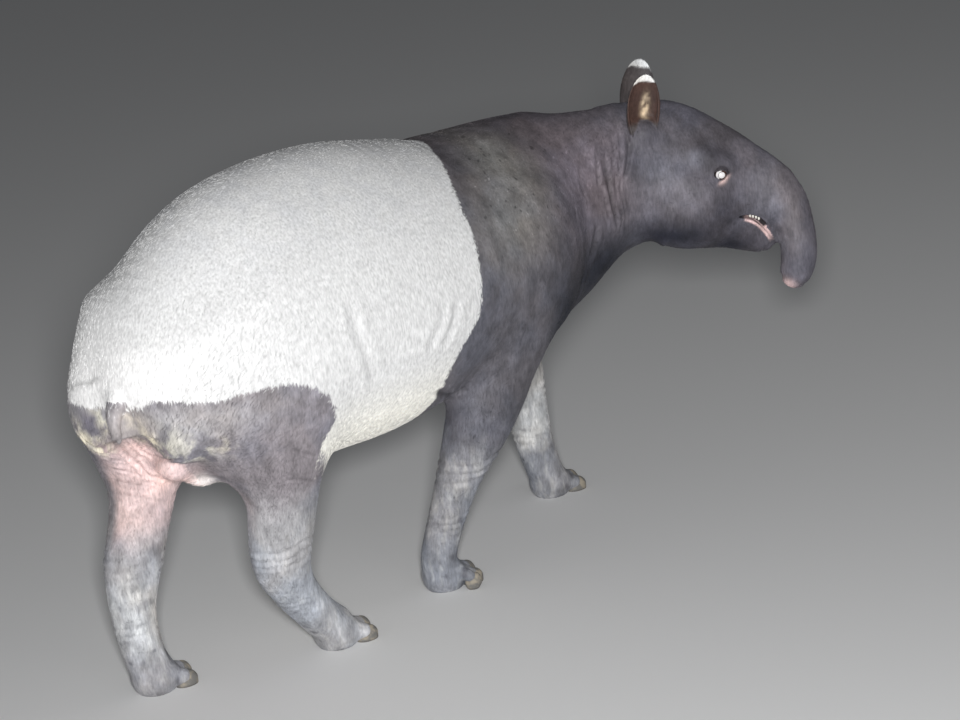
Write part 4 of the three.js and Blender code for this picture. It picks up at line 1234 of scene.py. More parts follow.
def leg_tone(tone, p, leg, on_leg, warp, fleck, fine):
    """Paler shanks, with dust drawn down them and soot on the feet."""
    z = p[:, 2] + warp
    fore = leg < 2
    edges = [np.where(fore, *pair) for pair in zip(SHANK["fore"], SHANK["hind"])]
    low = (1 - smooth_step(z, *edges)) * on_leg
    tone = mixed(tone, np.array([TONES[name] for name in SHANKS])[leg], low * SHANK["strength"])
    drawn = noise(p * [1, 1, 0.22], 9) + 0.6 * noise(p * [1, 1, 0.3], 4)
    dust = smooth_step(0.5 * fleck + 0.6 * noise(p, 60) + drawn, *DUST["amount"])
    dust *= (1 - smooth_step(z, *DUST["top"])) * DUST["strength"]
    for number, row in ((1, FAR_FORE), (3, FAR_HIND)):
        height = smooth_step(z, *row["rising"]) * (1 - smooth_step(z + warp * 0.5, *row["falling"]))
        dust += row["strength"] * (leg == number) * height * (0.6 + 0.25 * drawn) * on_leg
    tone = mixed(tone, TONES["pale"], np.clip(dust, 0, DUST["most"]) * on_leg)
    soot = smooth_step(-fleck + 0.6 * fine, *SOOT["amount"]) * (1 - smooth_step(p[:, 2], *SOOT["top"]))
    return mixed(tone, TONES["arm"], soot * SOOT["strength"])


def face_tone(tone, p, warp):
    """The head's own patches, laid over the trunk's tone."""
    h = (p - head_point(0, 0, 0)) @ head_ahead
    face = np.broadcast_to(TONES["head"], p.shape)
    for row in HEAD_PATCHES:
        face = mixed(face, TONES[row[4]], patch_weight(h, p[:, 2], row, warp * 0.5))
    return mixed(tone, face, smooth_step(h + warp * 0.6, *FACE_FADE) * (p[:, 2] > CHIN_LEVEL))


def rear_tone(tone, p, out, leg, warp, smear):
    """Bare pink skin between the hind legs, with dried mud smeared round it."""
    side = np.array([data["side"] for data in LEGS.values()])[leg]
    inner = smooth_step(-side * out[:, 1] - 0.25 * out[:, 0], *INNER["facing"]) * np.array(INNER["legs"])[leg]
    inner *= smooth_step(p[:, 2] + warp, *INNER["rising"]) * (1 - smooth_step(p[:, 2], *INNER["falling"]))
    tone = mixed(tone, TONES["inner"], inner * (p[:, 0] < INNER["ahead"]) * 0.95)
    tone = mixed(tone, TONES["pink"], spots(p, PINK, warp * 0.4) * 0.95)
    tone = mixed(tone, TONES["flesh_white"], spots(p, GROIN_WHITE, warp * 0.1))
    tone = mixed(tone, TONES["mud"], spots(p, MUD, warp * 0.4) * smooth_step(smear, *SMEAR))
    return mixed(tone, TONES["dark_spot"], spots(p, DARK_SPOTS, warp * 0.1) * 0.9)


def saddle_tone(p, warp, fleck, fine):
    """White fur, yellower below; greyer in patches along the back, partly painted shade; painted light makes
    it brightest low on the rump.
    """
    z = p[:, 2]
    fade = SADDLE_FADE
    tone = np.broadcast_to(TONES["saddle"], p.shape)
    tone = mixed(tone, TONES["saddle_low"], 1 - smooth_step(z, *fade["low"]))
    # Painted shade in patches: the saddle greys towards the top of the back.
    grey = smooth_step(z + warp, *fade["back"]) * smooth_step(fleck + 0.6 * noise(p, 50), *fade["patchy"])
    tone = mixed(tone, TONES["saddle_grey_and_shade"], grey * 0.35)
    # Painted light: the low rump, which faces away from the flash, is brightened.
    painted_light = (1 - smooth_step(p[:, 0], *fade["behind"])) * (1 - smooth_step(z, *fade["under"]))
    tone = mixed(tone, TONES["saddle_painted_light"], painted_light)
    return tone * (1 + 0.035 * fleck + 0.03 * fine)[:, None]


def tones_at(p, out, leg, leg_gap, dark):
    """The dark coat's and the saddle's tone at each place of the skin, both darkened by painted shade in the
    creases.
    """
    warp = waves(p, TONE_WAVES)
    fleck = noise(p, 21)
    fine = noise(p, 9)
    streak = noise(p * [1, 1, 0.35], 16)
    tone = trunk_tone(p, warp)
    tone = leg_tone(tone, p, leg, leg_gap < LEG_REACH, warp, fleck, fine)
    tone = face_tone(tone, p, warp)
    tone = rear_tone(tone, p, out, leg, warp, fleck + 0.7 * fine + streak)
    tone = tone * (1 + 0.13 * fleck + 0.10 * fine + 0.08 * streak)[:, None]
    # Painted shade in the creases of the folds darkens both tones.
    shade = (1 - 0.6 * dark)[:, None]
    return np.clip(tone * shade, 0, 1), np.clip(saddle_tone(p, warp, fleck, fine) * shade, 0, 1)


# Marks of the ears: the zone they fill, the white tip, the cup with its pale streak of painted highlight, and
# its lower rim
EAR_ZONE = dict(top=1.12, across=0.56, depth=34, clear=(-0.5, 2))
EAR_BAND = dict(edge=(0.89, 0.93), bow=0.35)
EAR_CUP = dict(start=(0.12, 0.22), deep=0.8, facing=0.15, streak=(0.43, 0.19), streak_across=(10, 8))
EAR_RIM = dict(place=0.13, reach=0.025, half=16, facing=0.2, strength=0.35)


def ear_marks(p, out, tone):
    """Dark ears with a brown cup, a painted highlight in the cup, and white tips."""
    for s in (1, -1):
        faces_out = out @ ear_axes(s)[3]
        t, w, f = ear_place(p, s)
        within = (np.abs(w) < EAR_WIDTH * EAR_ZONE["across"]) & (np.abs(f) < EAR_ZONE["depth"])
        on_ear = 1.0 * (t > 0) * (t < EAR_ZONE["top"]) * within
        near = np.flatnonzero(on_ear > 0)
        on_ear[near] *= smooth_step(body(p[near]), *EAR_ZONE["clear"])
        tone = mixed(tone, TONES["ear"], on_ear * 0.95)
        depth = between(EAR["depth"], np.clip(t, 0, 1))
        cup = on_ear * (f > -depth * EAR_CUP["deep"]) * (faces_out > EAR_CUP["facing"])
        cup = cup * smooth_step(t, *EAR_CUP["start"])
        tone = mixed(tone, TONES["cup"], cup * 0.9)
        # The cream streak in the cup is a painted highlight.
        across, reach = EAR_CUP["streak_across"]
        painted_shine = bell(t, *EAR_CUP["streak"]) * bell(w, s * across, reach)
        tone = mixed(tone, TONES["cream"], cup * np.clip(painted_shine * (1 + noise(p, 6)), 0, 1) * 0.9)
        level = t + 0.02 * noise(p, 7) + EAR_BAND["bow"] * (w / EAR_WIDTH) ** 2
        white = smooth_step(level, *EAR_BAND["edge"])
        tone = mixed(tone, TONES["rim"], on_ear * white)
        rim = bell(t, EAR_RIM["place"], EAR_RIM["reach"]) * (np.abs(w) < EAR_RIM["half"])
        tone = mixed(tone, TONES["rim"], on_ear * rim * (faces_out > EAR_RIM["facing"]) * EAR_RIM["strength"])
    return tone


# Marks of the mouth: how far the lip's pink and the painted shade inside the mouth reach, and where along it
# they fade
MOUTH_MARKS = dict(pink=(6, 9), start=(2, 5), end=(24, 28), gape_shade=(-1.5, 0.5), deep=(5, 8))
MOUTH_ZONE = dict(h=(205, 345), z=(500, 700))


def mouth_marks(p, tone):
    """The pink lower lip, and the dark inside of the mouth deepened to near black by painted shade further
    in.
    """
    h = (p - head_point(0, 0, 0)) @ head_ahead
    z = p[:, 2]
    row = MOUTH_MARKS
    in_zone = [(a > low) & (a < high) for a, (low, high) in ((h, MOUTH_ZONE["h"]), (z, MOUTH_ZONE["z"]))]
    by = np.flatnonzero(in_zone[0] & in_zone[1])
    flat = np.column_stack([h, z])[by]
    index, part, gap = nearest_on(mouth_line[:, :2], flat)
    opening = (mouth_line[index, 2] + (mouth_line[index + 1, 2] - mouth_line[index, 2]) * part) / 2
    across = np.column_stack([-mouth_slope[index, 1], mouth_slope[index, 0]])
    below = ((flat - mouth_line[index, :2]) * across).sum(1) < 0
    lower = (1 - smooth_step(gap - opening, *row["pink"])) * below * band(index, row["start"], row["end"])
    # Painted shade: the inside of the mouth turns near black, the deeper the darker.
    gape_shade = (1 - smooth_step(gap - opening, *row["gape_shade"])) * smooth_step(-body(p[by]), *row["deep"])
    tone[by] = mixed(mixed(tone[by], TONES["lip"], lower * 0.95), TONES["gape_shade"], gape_shade)
    return tone


# Marks of the face: the ring round an eye, and the pale rim at the tip of the proboscis
EYE_RING = dict(ahead=0.8, width=7, reach=40, upper=(-4, 8), corner=(12, 24))
SNOUT_RIM = dict(place=(336, 16, 482), reach=17)


def face_marks(p, tone):
    """Darker and pinker skin round the eyes, and the pale rim at the tip of the proboscis."""
    for s in (1, -1):
        centre, out, along, up = eyes[s]
        q = p - centre - out * EYE_RADIUS * EYE_RING["ahead"]
        a, b = q @ along, q @ up
        ring = bell(np.hypot(a, b), EYE_RADIUS, EYE_RING["width"])
        ring *= np.linalg.norm(q, axis=1) < EYE_RING["reach"]
        tone = mixed(tone, TONES["soot"], ring * smooth_step(b, *EYE_RING["upper"]) * 0.8)
        tone = mixed(tone, TONES["pink"], ring * smooth_step(a - b, *EYE_RING["corner"]) * 0.7)
        h, l, z = SNOUT_RIM["place"]
        away = np.linalg.norm(p - head_point(h, s * l, z), axis=1)
        tone = mixed(tone, TONES["lip"], bell(away, 0, SNOUT_RIM["reach"]) * 0.95)
    return tone


def paint(mesh, name, values):
    """Stores a number or a colour for each vertex."""
    if values.ndim == 1:
        attribute = mesh.attributes.new(name, "FLOAT", "POINT")
        attribute.data.foreach_set("value", values.astype(np.float32))
        return
    attribute = mesh.attributes.new(name, "FLOAT_COLOR", "POINT")
    full = np.ones((len(values), 4), np.float32)
    full[:, :3] = values
    attribute.data.foreach_set("color", full.ravel())


def refined(mesh, chosen):
    """Splits the faces among the chosen vertices into four."""
    work = bmesh.new()
    work.from_mesh(mesh)
    work.verts.ensure_lookup_table()
    edges = [edge for edge in work.edges if chosen[edge.verts[0].index] and chosen[edge.verts[1].index]]
    bmesh.ops.subdivide_edges(work, edges=edges, cuts=1, use_grid_fill=True)
    work.to_mesh(mesh)
    work.free()


# Where the skin is drawn twice as finely: below the thighs, and x and z of the rear and of the neck
THIGH_LEVEL = 320
REAR_FINE = (220, 600)
EAR_FINE = (80, 640)
# Where the wrinkles stop, behind the head and above the feet
HEAD_EDGE = (-10, 25)
FOOT_EDGE = (FOOT_TOP + 5, FOOT_TOP + 40)
WRINKLE_REACH = dict(leg=140, neck=110)


def folded_zone(p, folds):
    """Which places of the trunk, neck and legs carry folds or wrinkles."""
    zone = (p[:, 2] > FOOT_TOP) & (p[:, 2] < THIGH_LEVEL)
    for line, width, _, _ in folds:
        chosen, _, _ = near_line(p, line, width * FINE_REACH["widths"] + FINE_REACH["more"])
        zone[chosen] = True
    rear = (p[:, 0] < REAR_FINE[0]) & (p[:, 2] < REAR_FINE[1]) & (p[:, 2] > THIGH_LEVEL)
    by_ear = (behind_head(p) > -EAR_FINE[0]) & (p[:, 2] > EAR_FINE[1])
    return (zone | rear | by_ear) & (behind_head(p) < OVERLAP)


def make_skin(folds):
    """The one skin over all the flesh, with its folds and markings."""
    mesh = joined(list(skin_patches()))
    refined(mesh, folded_zone(places_of(mesh), folds))
    p = places_of(mesh)
    plain = (1 - smooth_step(behind_head(p), *HEAD_EDGE)) * smooth_step(p[:, 2], *FOOT_EDGE)
    p = evened(p, edges_of(mesh), plain, EVEN_ROUNDS)
    set_places(mesh, p)
    out = normals_of(mesh)
    leg, leg_gap = leg_of(p)
    rise, dark = crease_at(p, folds)
    wrinkled = (leg_gap < WRINKLE_REACH["leg"]) | (behind_head(p) > -WRINKLE_REACH["neck"])
    rise += fine_wrinkles(p, leg) * wrinkled * plain
    set_places(mesh, p + out * rise[:, None])
    tone, pale = tones_at(p, out, leg, leg_gap, dark)
    paint(mesh, "tone", face_marks(p, mouth_marks(p, ear_marks(p, out, tone))))
    paint(mesh, "pale", pale)
    paint(mesh, "saddle", saddle_at(p))
    paint(mesh, "worn", worn_at(p))
    skin = bpy.data.objects.new("skin", mesh)
    bpy.context.scene.collection.objects.link(skin)
    mesh.materials.clear()
    mesh.polygons.foreach_set("material_index", np.zeros(len(mesh.polygons), np.int32))
    dressed(skin, hide_material())
    return skin


def dressed(piece, material):
    """Gives a piece its material, smoothly shaded."""
    piece.data.materials.append(material)
    piece.data.shade_smooth()


def connect(tree, socket, value):
    """Links another node's output to a socket, or sets a plain value on it."""
    if isinstance(value, bpy.types.NodeSocket):
        tree.links.new(value, socket)
    else:
        socket.default_value = value


def node(tree, kind, **inputs):
    """A shader node with values or links put on its inputs."""
    made = tree.nodes.new(kind)
    for name, value in inputs.items():
        connect(tree, made.inputs[name], value)
    return made


def attribute(tree, name, output):
    """Reads what was painted on the mesh."""
    made = tree.nodes.new("ShaderNodeAttribute")
    made.attribute_name = name
    return made.outputs[output]


def grain(tree, scale, stretch, detail):
    """Fine noise in the object's own space, drawn out along the lie of the hair."""
    place = tree.nodes.new("ShaderNodeTexCoord").outputs["Object"]
    mapping = node(tree, "ShaderNodeMapping", Vector=place, Scale=stretch)
    stretched = mapping.outputs["Vector"]
    return node(tree, "ShaderNodeTexNoise", Vector=stretched, Scale=scale, Detail=detail).outputs["Fac"]


def maths(tree, operation, a, b):
    """Two values worked into one."""
    made = tree.nodes.new("ShaderNodeMath")
    made.operation = operation
    for socket, value in zip(made.inputs, (a, b)):
        connect(tree, socket, value)
    return made.outputs[0]


def ranged(tree, value, low, high, to_low, to_high):
    """A value taken from one range to another."""
    made = tree.nodes.new("ShaderNodeMapRange")
    connect(tree, made.inputs["Value"], value)
    for name, number in (("From Min", low), ("From Max", high), ("To Min", to_low), ("To Max", to_high)):
        made.inputs[name].default_value = number
    return made.outputs["Result"]


def colours_mixed(tree, factor, a, b, blend_type="MIX"):
    """Two colours worked into one."""
    made = tree.nodes.new("ShaderNodeMix")
    made.data_type = "RGBA"
    made.blend_type = blend_type
    sockets = {socket.identifier: socket for socket in made.inputs}
    for name, value in (("Factor_Float", factor), ("A_Color", a), ("B_Color", b)):
        connect(tree, sockets[name], value)
    return [socket for socket in made.outputs if socket.identifier == "Result_Color"][0]


def grey_of(tree, level):
    """The same number as a grey."""
    grey = tree.nodes.new("ShaderNodeCombineColor")
    for socket in grey.inputs:
        tree.links.new(level, socket)
    return grey.outputs["Color"]


def material_of(name, roughness, specular=0.5):
    """A plain material with its node tree and its shader."""
    material = bpy.data.materials.new(name)
    material.use_nodes = True
    shader = material.node_tree.nodes["Principled BSDF"]
    shader.inputs["Roughness"].default_value = roughness
    shader.inputs["Specular IOR Level"].default_value = specular
    return material, material.node_tree, shader


# The hide's noises: scale, stretch along the lie of the hair, and detail
GRAINS = dict(
    streaks=(150, (1.6, 1.6, 0.35), 3.0), fine=(220, (1.0, 1.0, 0.28), 3.0), warmth=(7, (1, 1, 1), 4.0),
    mottle=(26, (1.2, 1.2, 0.7), 6.0), specks=(62, (1, 1, 0.8), 1.0), flecks=(95, (1, 1.2, 0.6), 2.0),
)
# What each noise is turned into, from one range to another
RANGES = dict(
    streaks=(0.3, 0.7, -6, 6), fine=(0.25, 0.75, 0.76, 1.24), warmth=(0.4, 0.6, 0, 1),
    mottle=(0.32, 0.68, 0.78, 1.24), specks=(0.67, 0.74, 1.0, 0.4), flecks=(0.66, 0.76, 1.0, 1.9),
)
HIDE = dict(roughness=0.6, specular=0.35, bump=0.5, bump_depth=0.0015)
SADDLE_EDGE = (-3.0, 3.0)
COOL = (0.97, 0.99, 1.03, 1)
WARM = (1.04, 1.0, 0.97, 1)


def hide_material(name="hide"):
    """Mottled dark hide and white saddle, parted by a ragged edge."""
    material, tree, shader = material_of(name, HIDE["roughness"], HIDE["specular"])
    noises = {key: grain(tree, *row) for key, row in GRAINS.items()}
    values = {key: ranged(tree, noises[key], *row) for key, row in RANGES.items()}
    marks = maths(tree, "SUBTRACT", maths(tree, "MULTIPLY", values["specks"], values["flecks"]), 1.0)
    marks = maths(tree, "MULTIPLY", attribute(tree, "worn", "Fac"), marks)
    uneven = maths(tree, "MULTIPLY", values["mottle"], maths(tree, "ADD", marks, 1.0))
    tint = colours_mixed(tree, values["warmth"], COOL, WARM)
    tone = colours_mixed(tree, 1.0, attribute(tree, "tone", "Color"), tint, "MULTIPLY")
    tone = colours_mixed(tree, 1.0, tone, grey_of(tree, uneven), "MULTIPLY")
    edge = maths(tree, "ADD", attribute(tree, "saddle", "Fac"), values["streaks"])
    white = ranged(tree, edge, *SADDLE_EDGE, 0, 1)
    colour = colours_mixed(tree, white, tone, attribute(tree, "pale", "Color"))
    colour = colours_mixed(tree, 1.0, colour, grey_of(tree, values["fine"]), "MULTIPLY")
    tree.links.new(colour, shader.inputs["Base Color"])
    raise_by = dict(Height=noises["fine"], Strength=HIDE["bump"], Distance=HIDE["bump_depth"])
    bump = node(tree, "ShaderNodeBump", **raise_by)
    tree.links.new(bump.outputs["Normal"], shader.inputs["Normal"])
    return material


def round_mesh(centre, radii, axes, across=48, around=32):
    """A closed ball stretched along three directions, as vertices and faces."""
    turn = np.linspace(0, 2 * math.pi, around, endpoint=False)
    vertices = [np.array([0, 0, 1.0])]
    for tilt in np.linspace(0, math.pi, across)[1:-1]:
        x, y = np.cos(turn) * math.sin(tilt), np.sin(turn) * math.sin(tilt)
        vertices.extend(np.column_stack([x, y, np.full(around, math.cos(tilt))]))
    vertices.append(np.array([0, 0, -1.0]))
    last = len(vertices) - 1
    faces = [(0, 1 + j, 1 + (j + 1) % around) for j in range(around)]
    for i in range(across - 3):
        a = 1 + i * around
        for j in range(around):
            k = (j + 1) % around
            faces.append((a + j, a + around + j, a + around + k, a + k))
    a = last - around
    faces += [(a + j, last, a + (j + 1) % around) for j in range(around)]
    return np.asarray(centre) + (np.array(vertices) * radii) @ np.asarray(axes), faces


def gathered(forms):
    """Many closed forms as one list of vertices and one of faces."""
    vertices = []
    faces = []
    start = 0
    for points, rings in forms:
        vertices.append(points)
        faces += [tuple(start + n for n in face) for face in rings]
        start += len(points)
    return np.vstack(vertices), faces


# The coat: short tufts that lie along the body. Each region: most tufts, length and root width in mm
# The coat's pieces: how many tufts, and how long and wide these are
COAT = dict(
    right=dict(count=21500, length=12, width=1.1),
    left=dict(count=21500, length=12, width=1.1),
    neck=dict(count=21500, length=10, width=1.0),
    head=dict(count=20000, length=4.5, width=0.8),
    forelegs=dict(count=20000, length=7, width=0.9),
    hindlegs=dict(count=21500, length=8, width=0.9),
)
ON_RIGHT, ON_LEFT, ON_NECK, ON_HEAD, ON_FORELEGS, ON_HINDLEGS = range(len(COAT))
# Where the pieces meet: along the trunk, up the legs and under the head
NECK_START = 1080
LEG_TOP = np.array([470, 470, 520, 520])
LEG_FUR = 135
HEAD_BOTTOM = 430
LOWEST_TUFT = 8
# A tuft's shape, and how flat it lies
TUFT = dict(sunk=0.6, lift=0.3, tip_lift=0.9, lift_at=13, thick=0.4, waist=0.75, flat=0.96, deepest=9)
# How much tufts differ: where they point, their measures and shade, and their place by the saddle's edge
VARIED = dict(
    stray=0.16, length=(0.65, 1.25), width=(0.7, 1.3), lift=(0.2, 1.3), shade=(0.84, 1.16), edge=4.0,
)
SHORTER = dict(height=(40, 160), least=0.5)
TUFT_SEED = 7
# A tuft's nine faces over its seven corners, and where these corners lie on the unwrap
TUFT_FACES = np.array([
    (0, 1, 4), (0, 4, 3), (1, 2, 5), (1, 5, 4), (2, 0, 3), (2, 3, 5), (3, 4, 6), (4, 5, 6), (5, 3, 6),
])
TUFT_PATCH = np.array([(-1, -1), (1, -1), (0, -0.4), (-0.8, 0.2), (0.8, 0.2), (0, 0.5), (0, 1)]) * 0.0015
# The way the hair lies, and how it turns upwards over the face
LIE = dict(trunk=(-1.0, 0, -0.85), leg=(-0.2, 0, -1), face=(220, 350), rise=(-0.35, 1.25))
EAR_HAIR = dict(start=0.03, top=1.15, across=0.6)
SWIRL = dict(offsets=(0, 500, 900), size=70, strength=0.35)
# The unwrap: its start, the trunk's and the head's middle height and length, and each leg's share
UNWRAP = dict(start=120, middle=700, trunk=1900, head=560, lean=0.5, share=0.46, margin=0.02, leg_top=640)
UNWRAP_EDGE = 0.004
# How far from the saddle's edge a tuft counts as all white or all dark
CLEAR = 60.0


def region_of(p, leg, leg_gap):
    """Which coat piece each place belongs to."""
    region = np.where(p[:, 1] < 0, ON_RIGHT, ON_LEFT)
    region[p[:, 0] > NECK_START] = ON_NECK
    on_leg = (leg_gap < LEG_FUR) & (p[:, 2] < LEG_TOP[leg])
    region[on_leg & (leg < 2)] = ON_FORELEGS
    region[on_leg & (leg >= 2)] = ON_HINDLEGS
    region[(behind_head(p) > 0) & (p[:, 2] > HEAD_BOTTOM)] = ON_HEAD
    return region


def lie_of(p, region):
    """The way the hair lies: back along the body, down the legs, back over the face and up the ears."""
    lie = np.broadcast_to(LIE["trunk"], p.shape).copy()
    lie[region >= ON_FORELEGS] = LIE["leg"]
    on_head = region == ON_HEAD
    h = (p[on_head] - head_point(0, 0, 0)) @ head_ahead
    up = smooth_step(h, *LIE["face"])[:, None]
    lie[on_head] = -head_ahead * (1 - up) + np.array([0, 0, 1]) * between(LIE["rise"], up)
    for s in (1, -1):
        t, w, f = ear_place(p, s)
        within = (np.abs(w) < EAR_WIDTH * EAR_HAIR["across"]) & (np.abs(f) < EAR_ZONE["depth"])
        lie[(t > EAR_HAIR["start"]) & (t < EAR_HAIR["top"]) & within] = ear_axes(s)[1]
    swirl = np.stack([noise(p + offset, SWIRL["size"]) for offset in SWIRL["offsets"]], 1)
    return unit(lie + SWIRL["strength"] * swirl)


def turned(a, b):
    """The direction of a and b as a share of a full turn."""
    return np.arctan2(a, b) / (2 * math.pi) + 0.5


def unwrapped(p, region, leg):
    """Where each place falls on its own piece's unwrap, a strip round the body or the limb."""
    row = UNWRAP
    uv = np.empty((len(p), 2))
    uv[:, 0] = (p[:, 0] + row["start"]) / row["trunk"]
    uv[:, 1] = turned(p[:, 1], p[:, 2] - row["middle"])
    on_head = region == ON_HEAD
    q = (p[on_head] - head_point(0, 0, row["middle"])) @ head_axes.T
    uv[on_head, 0] = (q[:, 0] + row["start"]) / row["head"]
    uv[on_head, 1] = turned(q[:, 1], q[:, 2] + row["lean"] * q[:, 0])
    for number, data in enumerate(LEGS.values()):
        mine = (region >= ON_FORELEGS) & (leg == number)
        rows = np.array([(z, x, y * data["side"]) for x, y, z, *_ in data["rows"]][::-1], float)
        x0, y0 = (np.interp(p[mine, 2], rows[:, 0], rows[:, k]) for k in (1, 2))
        turn = turned(p[mine, 1] - y0, p[mine, 0] - x0)
        uv[mine, 0] = (turn * row["share"] + row["margin"]) + 0.5 * (number % 2)
        uv[mine, 1] = p[mine, 2] / row["leg_top"]
    return np.clip(uv, UNWRAP_EDGE, 1 - UNWRAP_EDGE)


def scattered(mesh, rng):
    """Random places on the skin for each piece, with the skin's slope and paint there."""
    mesh.calc_loop_triangles()
    corners = np.empty(len(mesh.loop_triangles) * 3, np.int32)
    mesh.loop_triangles.foreach_get("vertices", corners)
    corners = corners.reshape(-1, 3)
    p = places_of(mesh)
    a, b, c = (p[corners[:, k]] for k in range(3))
    area = np.linalg.norm(np.cross(b - a, c - a), axis=1)
    region = region_of(a, *leg_of(a))
    skin_values = dict(place=p, out=normals_of(mesh))
    for name in ("tone", "pale"):
        values = np.empty(len(p) * 4, np.float32)
        mesh.attributes[name].data.foreach_get("color", values)
        skin_values[name] = values.reshape(-1, 4)[:, :3]
    for number, row in enumerate(COAT.values()):
        here = np.flatnonzero((region == number) & (a[:, 2] > LOWEST_TUFT))
        count = int(row["count"] / COARSE)
        chosen = rng.choice(here, count, p=area[here] / area[here].sum())
        split = rng.dirichlet((1, 1, 1), count)
        parts = split[:, :, None]
        at = {key: (values[corners[chosen]] * parts).sum(1) for key, values in skin_values.items()}
        keep = -body(at["place"]) < TUFT["deepest"]
        yield number, {key: values[keep] for key, values in at.items()}


def tuft_corners(row, region, at, rng):
    """The seven corners of each tuft: three at the root, three at the waist and the tip."""
    root, out = at["place"], unit(at["out"])
    n = len(root)
    lie = unit(lie_of(root, region) + rng.normal(0, VARIED["stray"], (n, 3)))
    lie = unit(lie - (lie * out).sum(1)[:, None] * out * TUFT["flat"])
    side = np.cross(out, lie)
    small = smooth_step(root[:, 2], *SHORTER["height"]) * (1 - SHORTER["least"]) + SHORTER["least"]
    length = row["length"] * rng.uniform(*VARIED["length"], n) * small
    width = row["width"] * rng.uniform(*VARIED["width"], n) * small
    lift = TUFT["tip_lift"] * rng.uniform(*VARIED["lift"], n) * length / TUFT["lift_at"]
    base = root - out * TUFT["sunk"]
    middle = root + lie * (length * 0.5)[:, None] + out * TUFT["lift"]
    tip = root + lie * length[:, None] + out * lift[:, None]
    half = (width / 2)[:, None] * side
    ring = np.stack([-half, half, width[:, None] * TUFT["thick"] * out], 1)
    rings = [base[:, None] + ring, middle[:, None] + ring * TUFT["waist"], tip[:, None]]
    return np.concatenate(rings, 1)


def paint_tufts(mesh, at, rng):
    """Each tuft in one shade of the skin's tone under it, white or dark all through."""
    n = len(at["place"])
    shade = rng.uniform(*VARIED["shade"], n)[:, None]
    saddle = saddle_at(at["place"]) + rng.normal(0, VARIED["edge"], n)
    looks = dict(
        tone=np.clip(at["tone"] * shade, 0, 1),
        pale=np.clip(at["pale"] * (1 + (shade - 1) * 0.3), 0, 1),
        worn=worn_at(at["place"]),
        saddle=np.where(saddle > 0, CLEAR, -CLEAR),
    )
    for name, values in looks.items():
        paint(mesh, name, np.repeat(values, len(TUFT_PATCH), axis=0))


def make_coat(mesh):
    """Tufts in a few large pieces, each tuft a bent, tapering spike of three sides."""
    rng = np.random.default_rng(TUFT_SEED)
    material = hide_material("fur")
    for number, at in scattered(mesh, rng):
        name, row = list(COAT.items())[number]
        n = len(at["place"])
        region = np.full(n, number)
        corners = tuft_corners(row, region, at, rng)
        triangles = (np.arange(n)[:, None, None] * len(TUFT_PATCH) + TUFT_FACES).reshape(-1, 3)
        piece = triangle_object("coat_" + name, corners.reshape(-1, 3), triangles)
        paint_tufts(piece.data, at, rng)
        uv = unwrapped(at["place"], region, leg_of(at["place"])[0])
        laid = (uv[:, None] + TUFT_PATCH).reshape(-1, 2)[triangles.ravel()]
        layer = piece.data.uv_layers.new(name="OFBake")
        layer.data.foreach_set("uv", laid.astype(np.float32).ravel())
        dressed(piece, material)
        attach(piece, "root")


def triangle_object(name, vertices, triangles):
    """A mesh object of many triangles from millimetres in the source's frame."""
    mesh = bpy.data.meshes.new(name)
    mesh.vertices.add(len(vertices))
    mesh.vertices.foreach_set("co", ((vertices + shift) * MM).astype(np.float32).ravel())
    mesh.loops.add(len(triangles) * 3)
    mesh.loops.foreach_set("vertex_index", triangles.astype(np.int32).ravel())
    mesh.polygons.add(len(triangles))
    mesh.polygons.foreach_set("loop_start", np.arange(len(triangles), dtype=np.int32) * 3)
    mesh.update(calc_edges=True)
    piece = bpy.data.objects.new(name, mesh)
    bpy.context.scene.collection.objects.link(piece)
    return piece


# The eye in rings, as angles from its middle: pupil with the painted reflection of the flash in it, iris and
# rim
EYE = dict(pupil=0.52, gap=0.60, crescent=0.95, side=(0.12, 0.26), iris=1.0, edge=0.04)
EYE_TONES = dict(
    painted_shine=(0.93, 0.90, 0.90), gap=(0.03, 0.015, 0.02), iris=(0.10, 0.05, 0.035), rim=(0.02, 0.014, 0.014),
)


def within_angle(angle, name):
    """One inside a ring of the eye and nothing outside it."""
    return 1 - smooth_step(angle, EYE[name] - EYE["edge"], EYE[name])


def make_eye(s):
    """A glassy eyeball with pupil, iris and a painted reflection of the flash, pale on the pupil and in a
    crescent.
    """
    centre, out, along, up = eyes[s]
    points, faces = round_mesh(centre, (EYE_RADIUS,) * 3, (along, up, out), 72, 64)
    side = "left" if s > 0 else "right"
    piece = mesh_object("eyeball_" + side, points, faces)
    q = unit(points - centre)
    angle = np.arccos(np.clip(q @ out, -1, 1))
    crescent = within_angle(angle, "crescent") * smooth_step(-(q @ along), *EYE["side"])
    tone = np.broadcast_to(EYE_TONES["rim"], points.shape)
    tone = mixed(tone, EYE_TONES["iris"], within_angle(angle, "iris"))
    # The crescent and the pupil are painted pale as the reflection of the flash.
    tone = mixed(tone, EYE_TONES["painted_shine"], crescent)
    tone = mixed(tone, EYE_TONES["gap"], within_angle(angle, "gap"))
    tone = mixed(tone, EYE_TONES["painted_shine"], within_angle(angle, "pupil"))
    paint(piece.data, "tone", tone)
    material, tree, shader = material_of("eye_" + side, 0.06, 0.6)
    shader.inputs["Coat Weight"].default_value = 1.0
    shader.inputs["Coat Roughness"].default_value = 0.02
    tree.links.new(attribute(tree, "tone", "Color"), shader.inputs["Base Color"])
    dressed(piece, material)
    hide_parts("eye_" + side)
    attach(piece, "root")


# The nails: their size, how they tilt and stand, their growth rings and dried mud, and how much darker they
# are in their lowest millimetres
HOOF = dict(radii=(29, 22, 33), inset=0.4, tilt=0.45, drop=15, lowest=5, ahead=8)
RINGS = dict(depth=0.35, step=2.6, outward=(1, 1, 0.4))
DIRT_AND_DARK_BASE = dict(amount=(-0.3, 0.6), floor=(0, 6), dark=0.6)
HOOF_TONES = dict(horn=(0.17, 0.165, 0.155), dirt=(0.34, 0.30, 0.24), dark=(0.08, 0.075, 0.07))


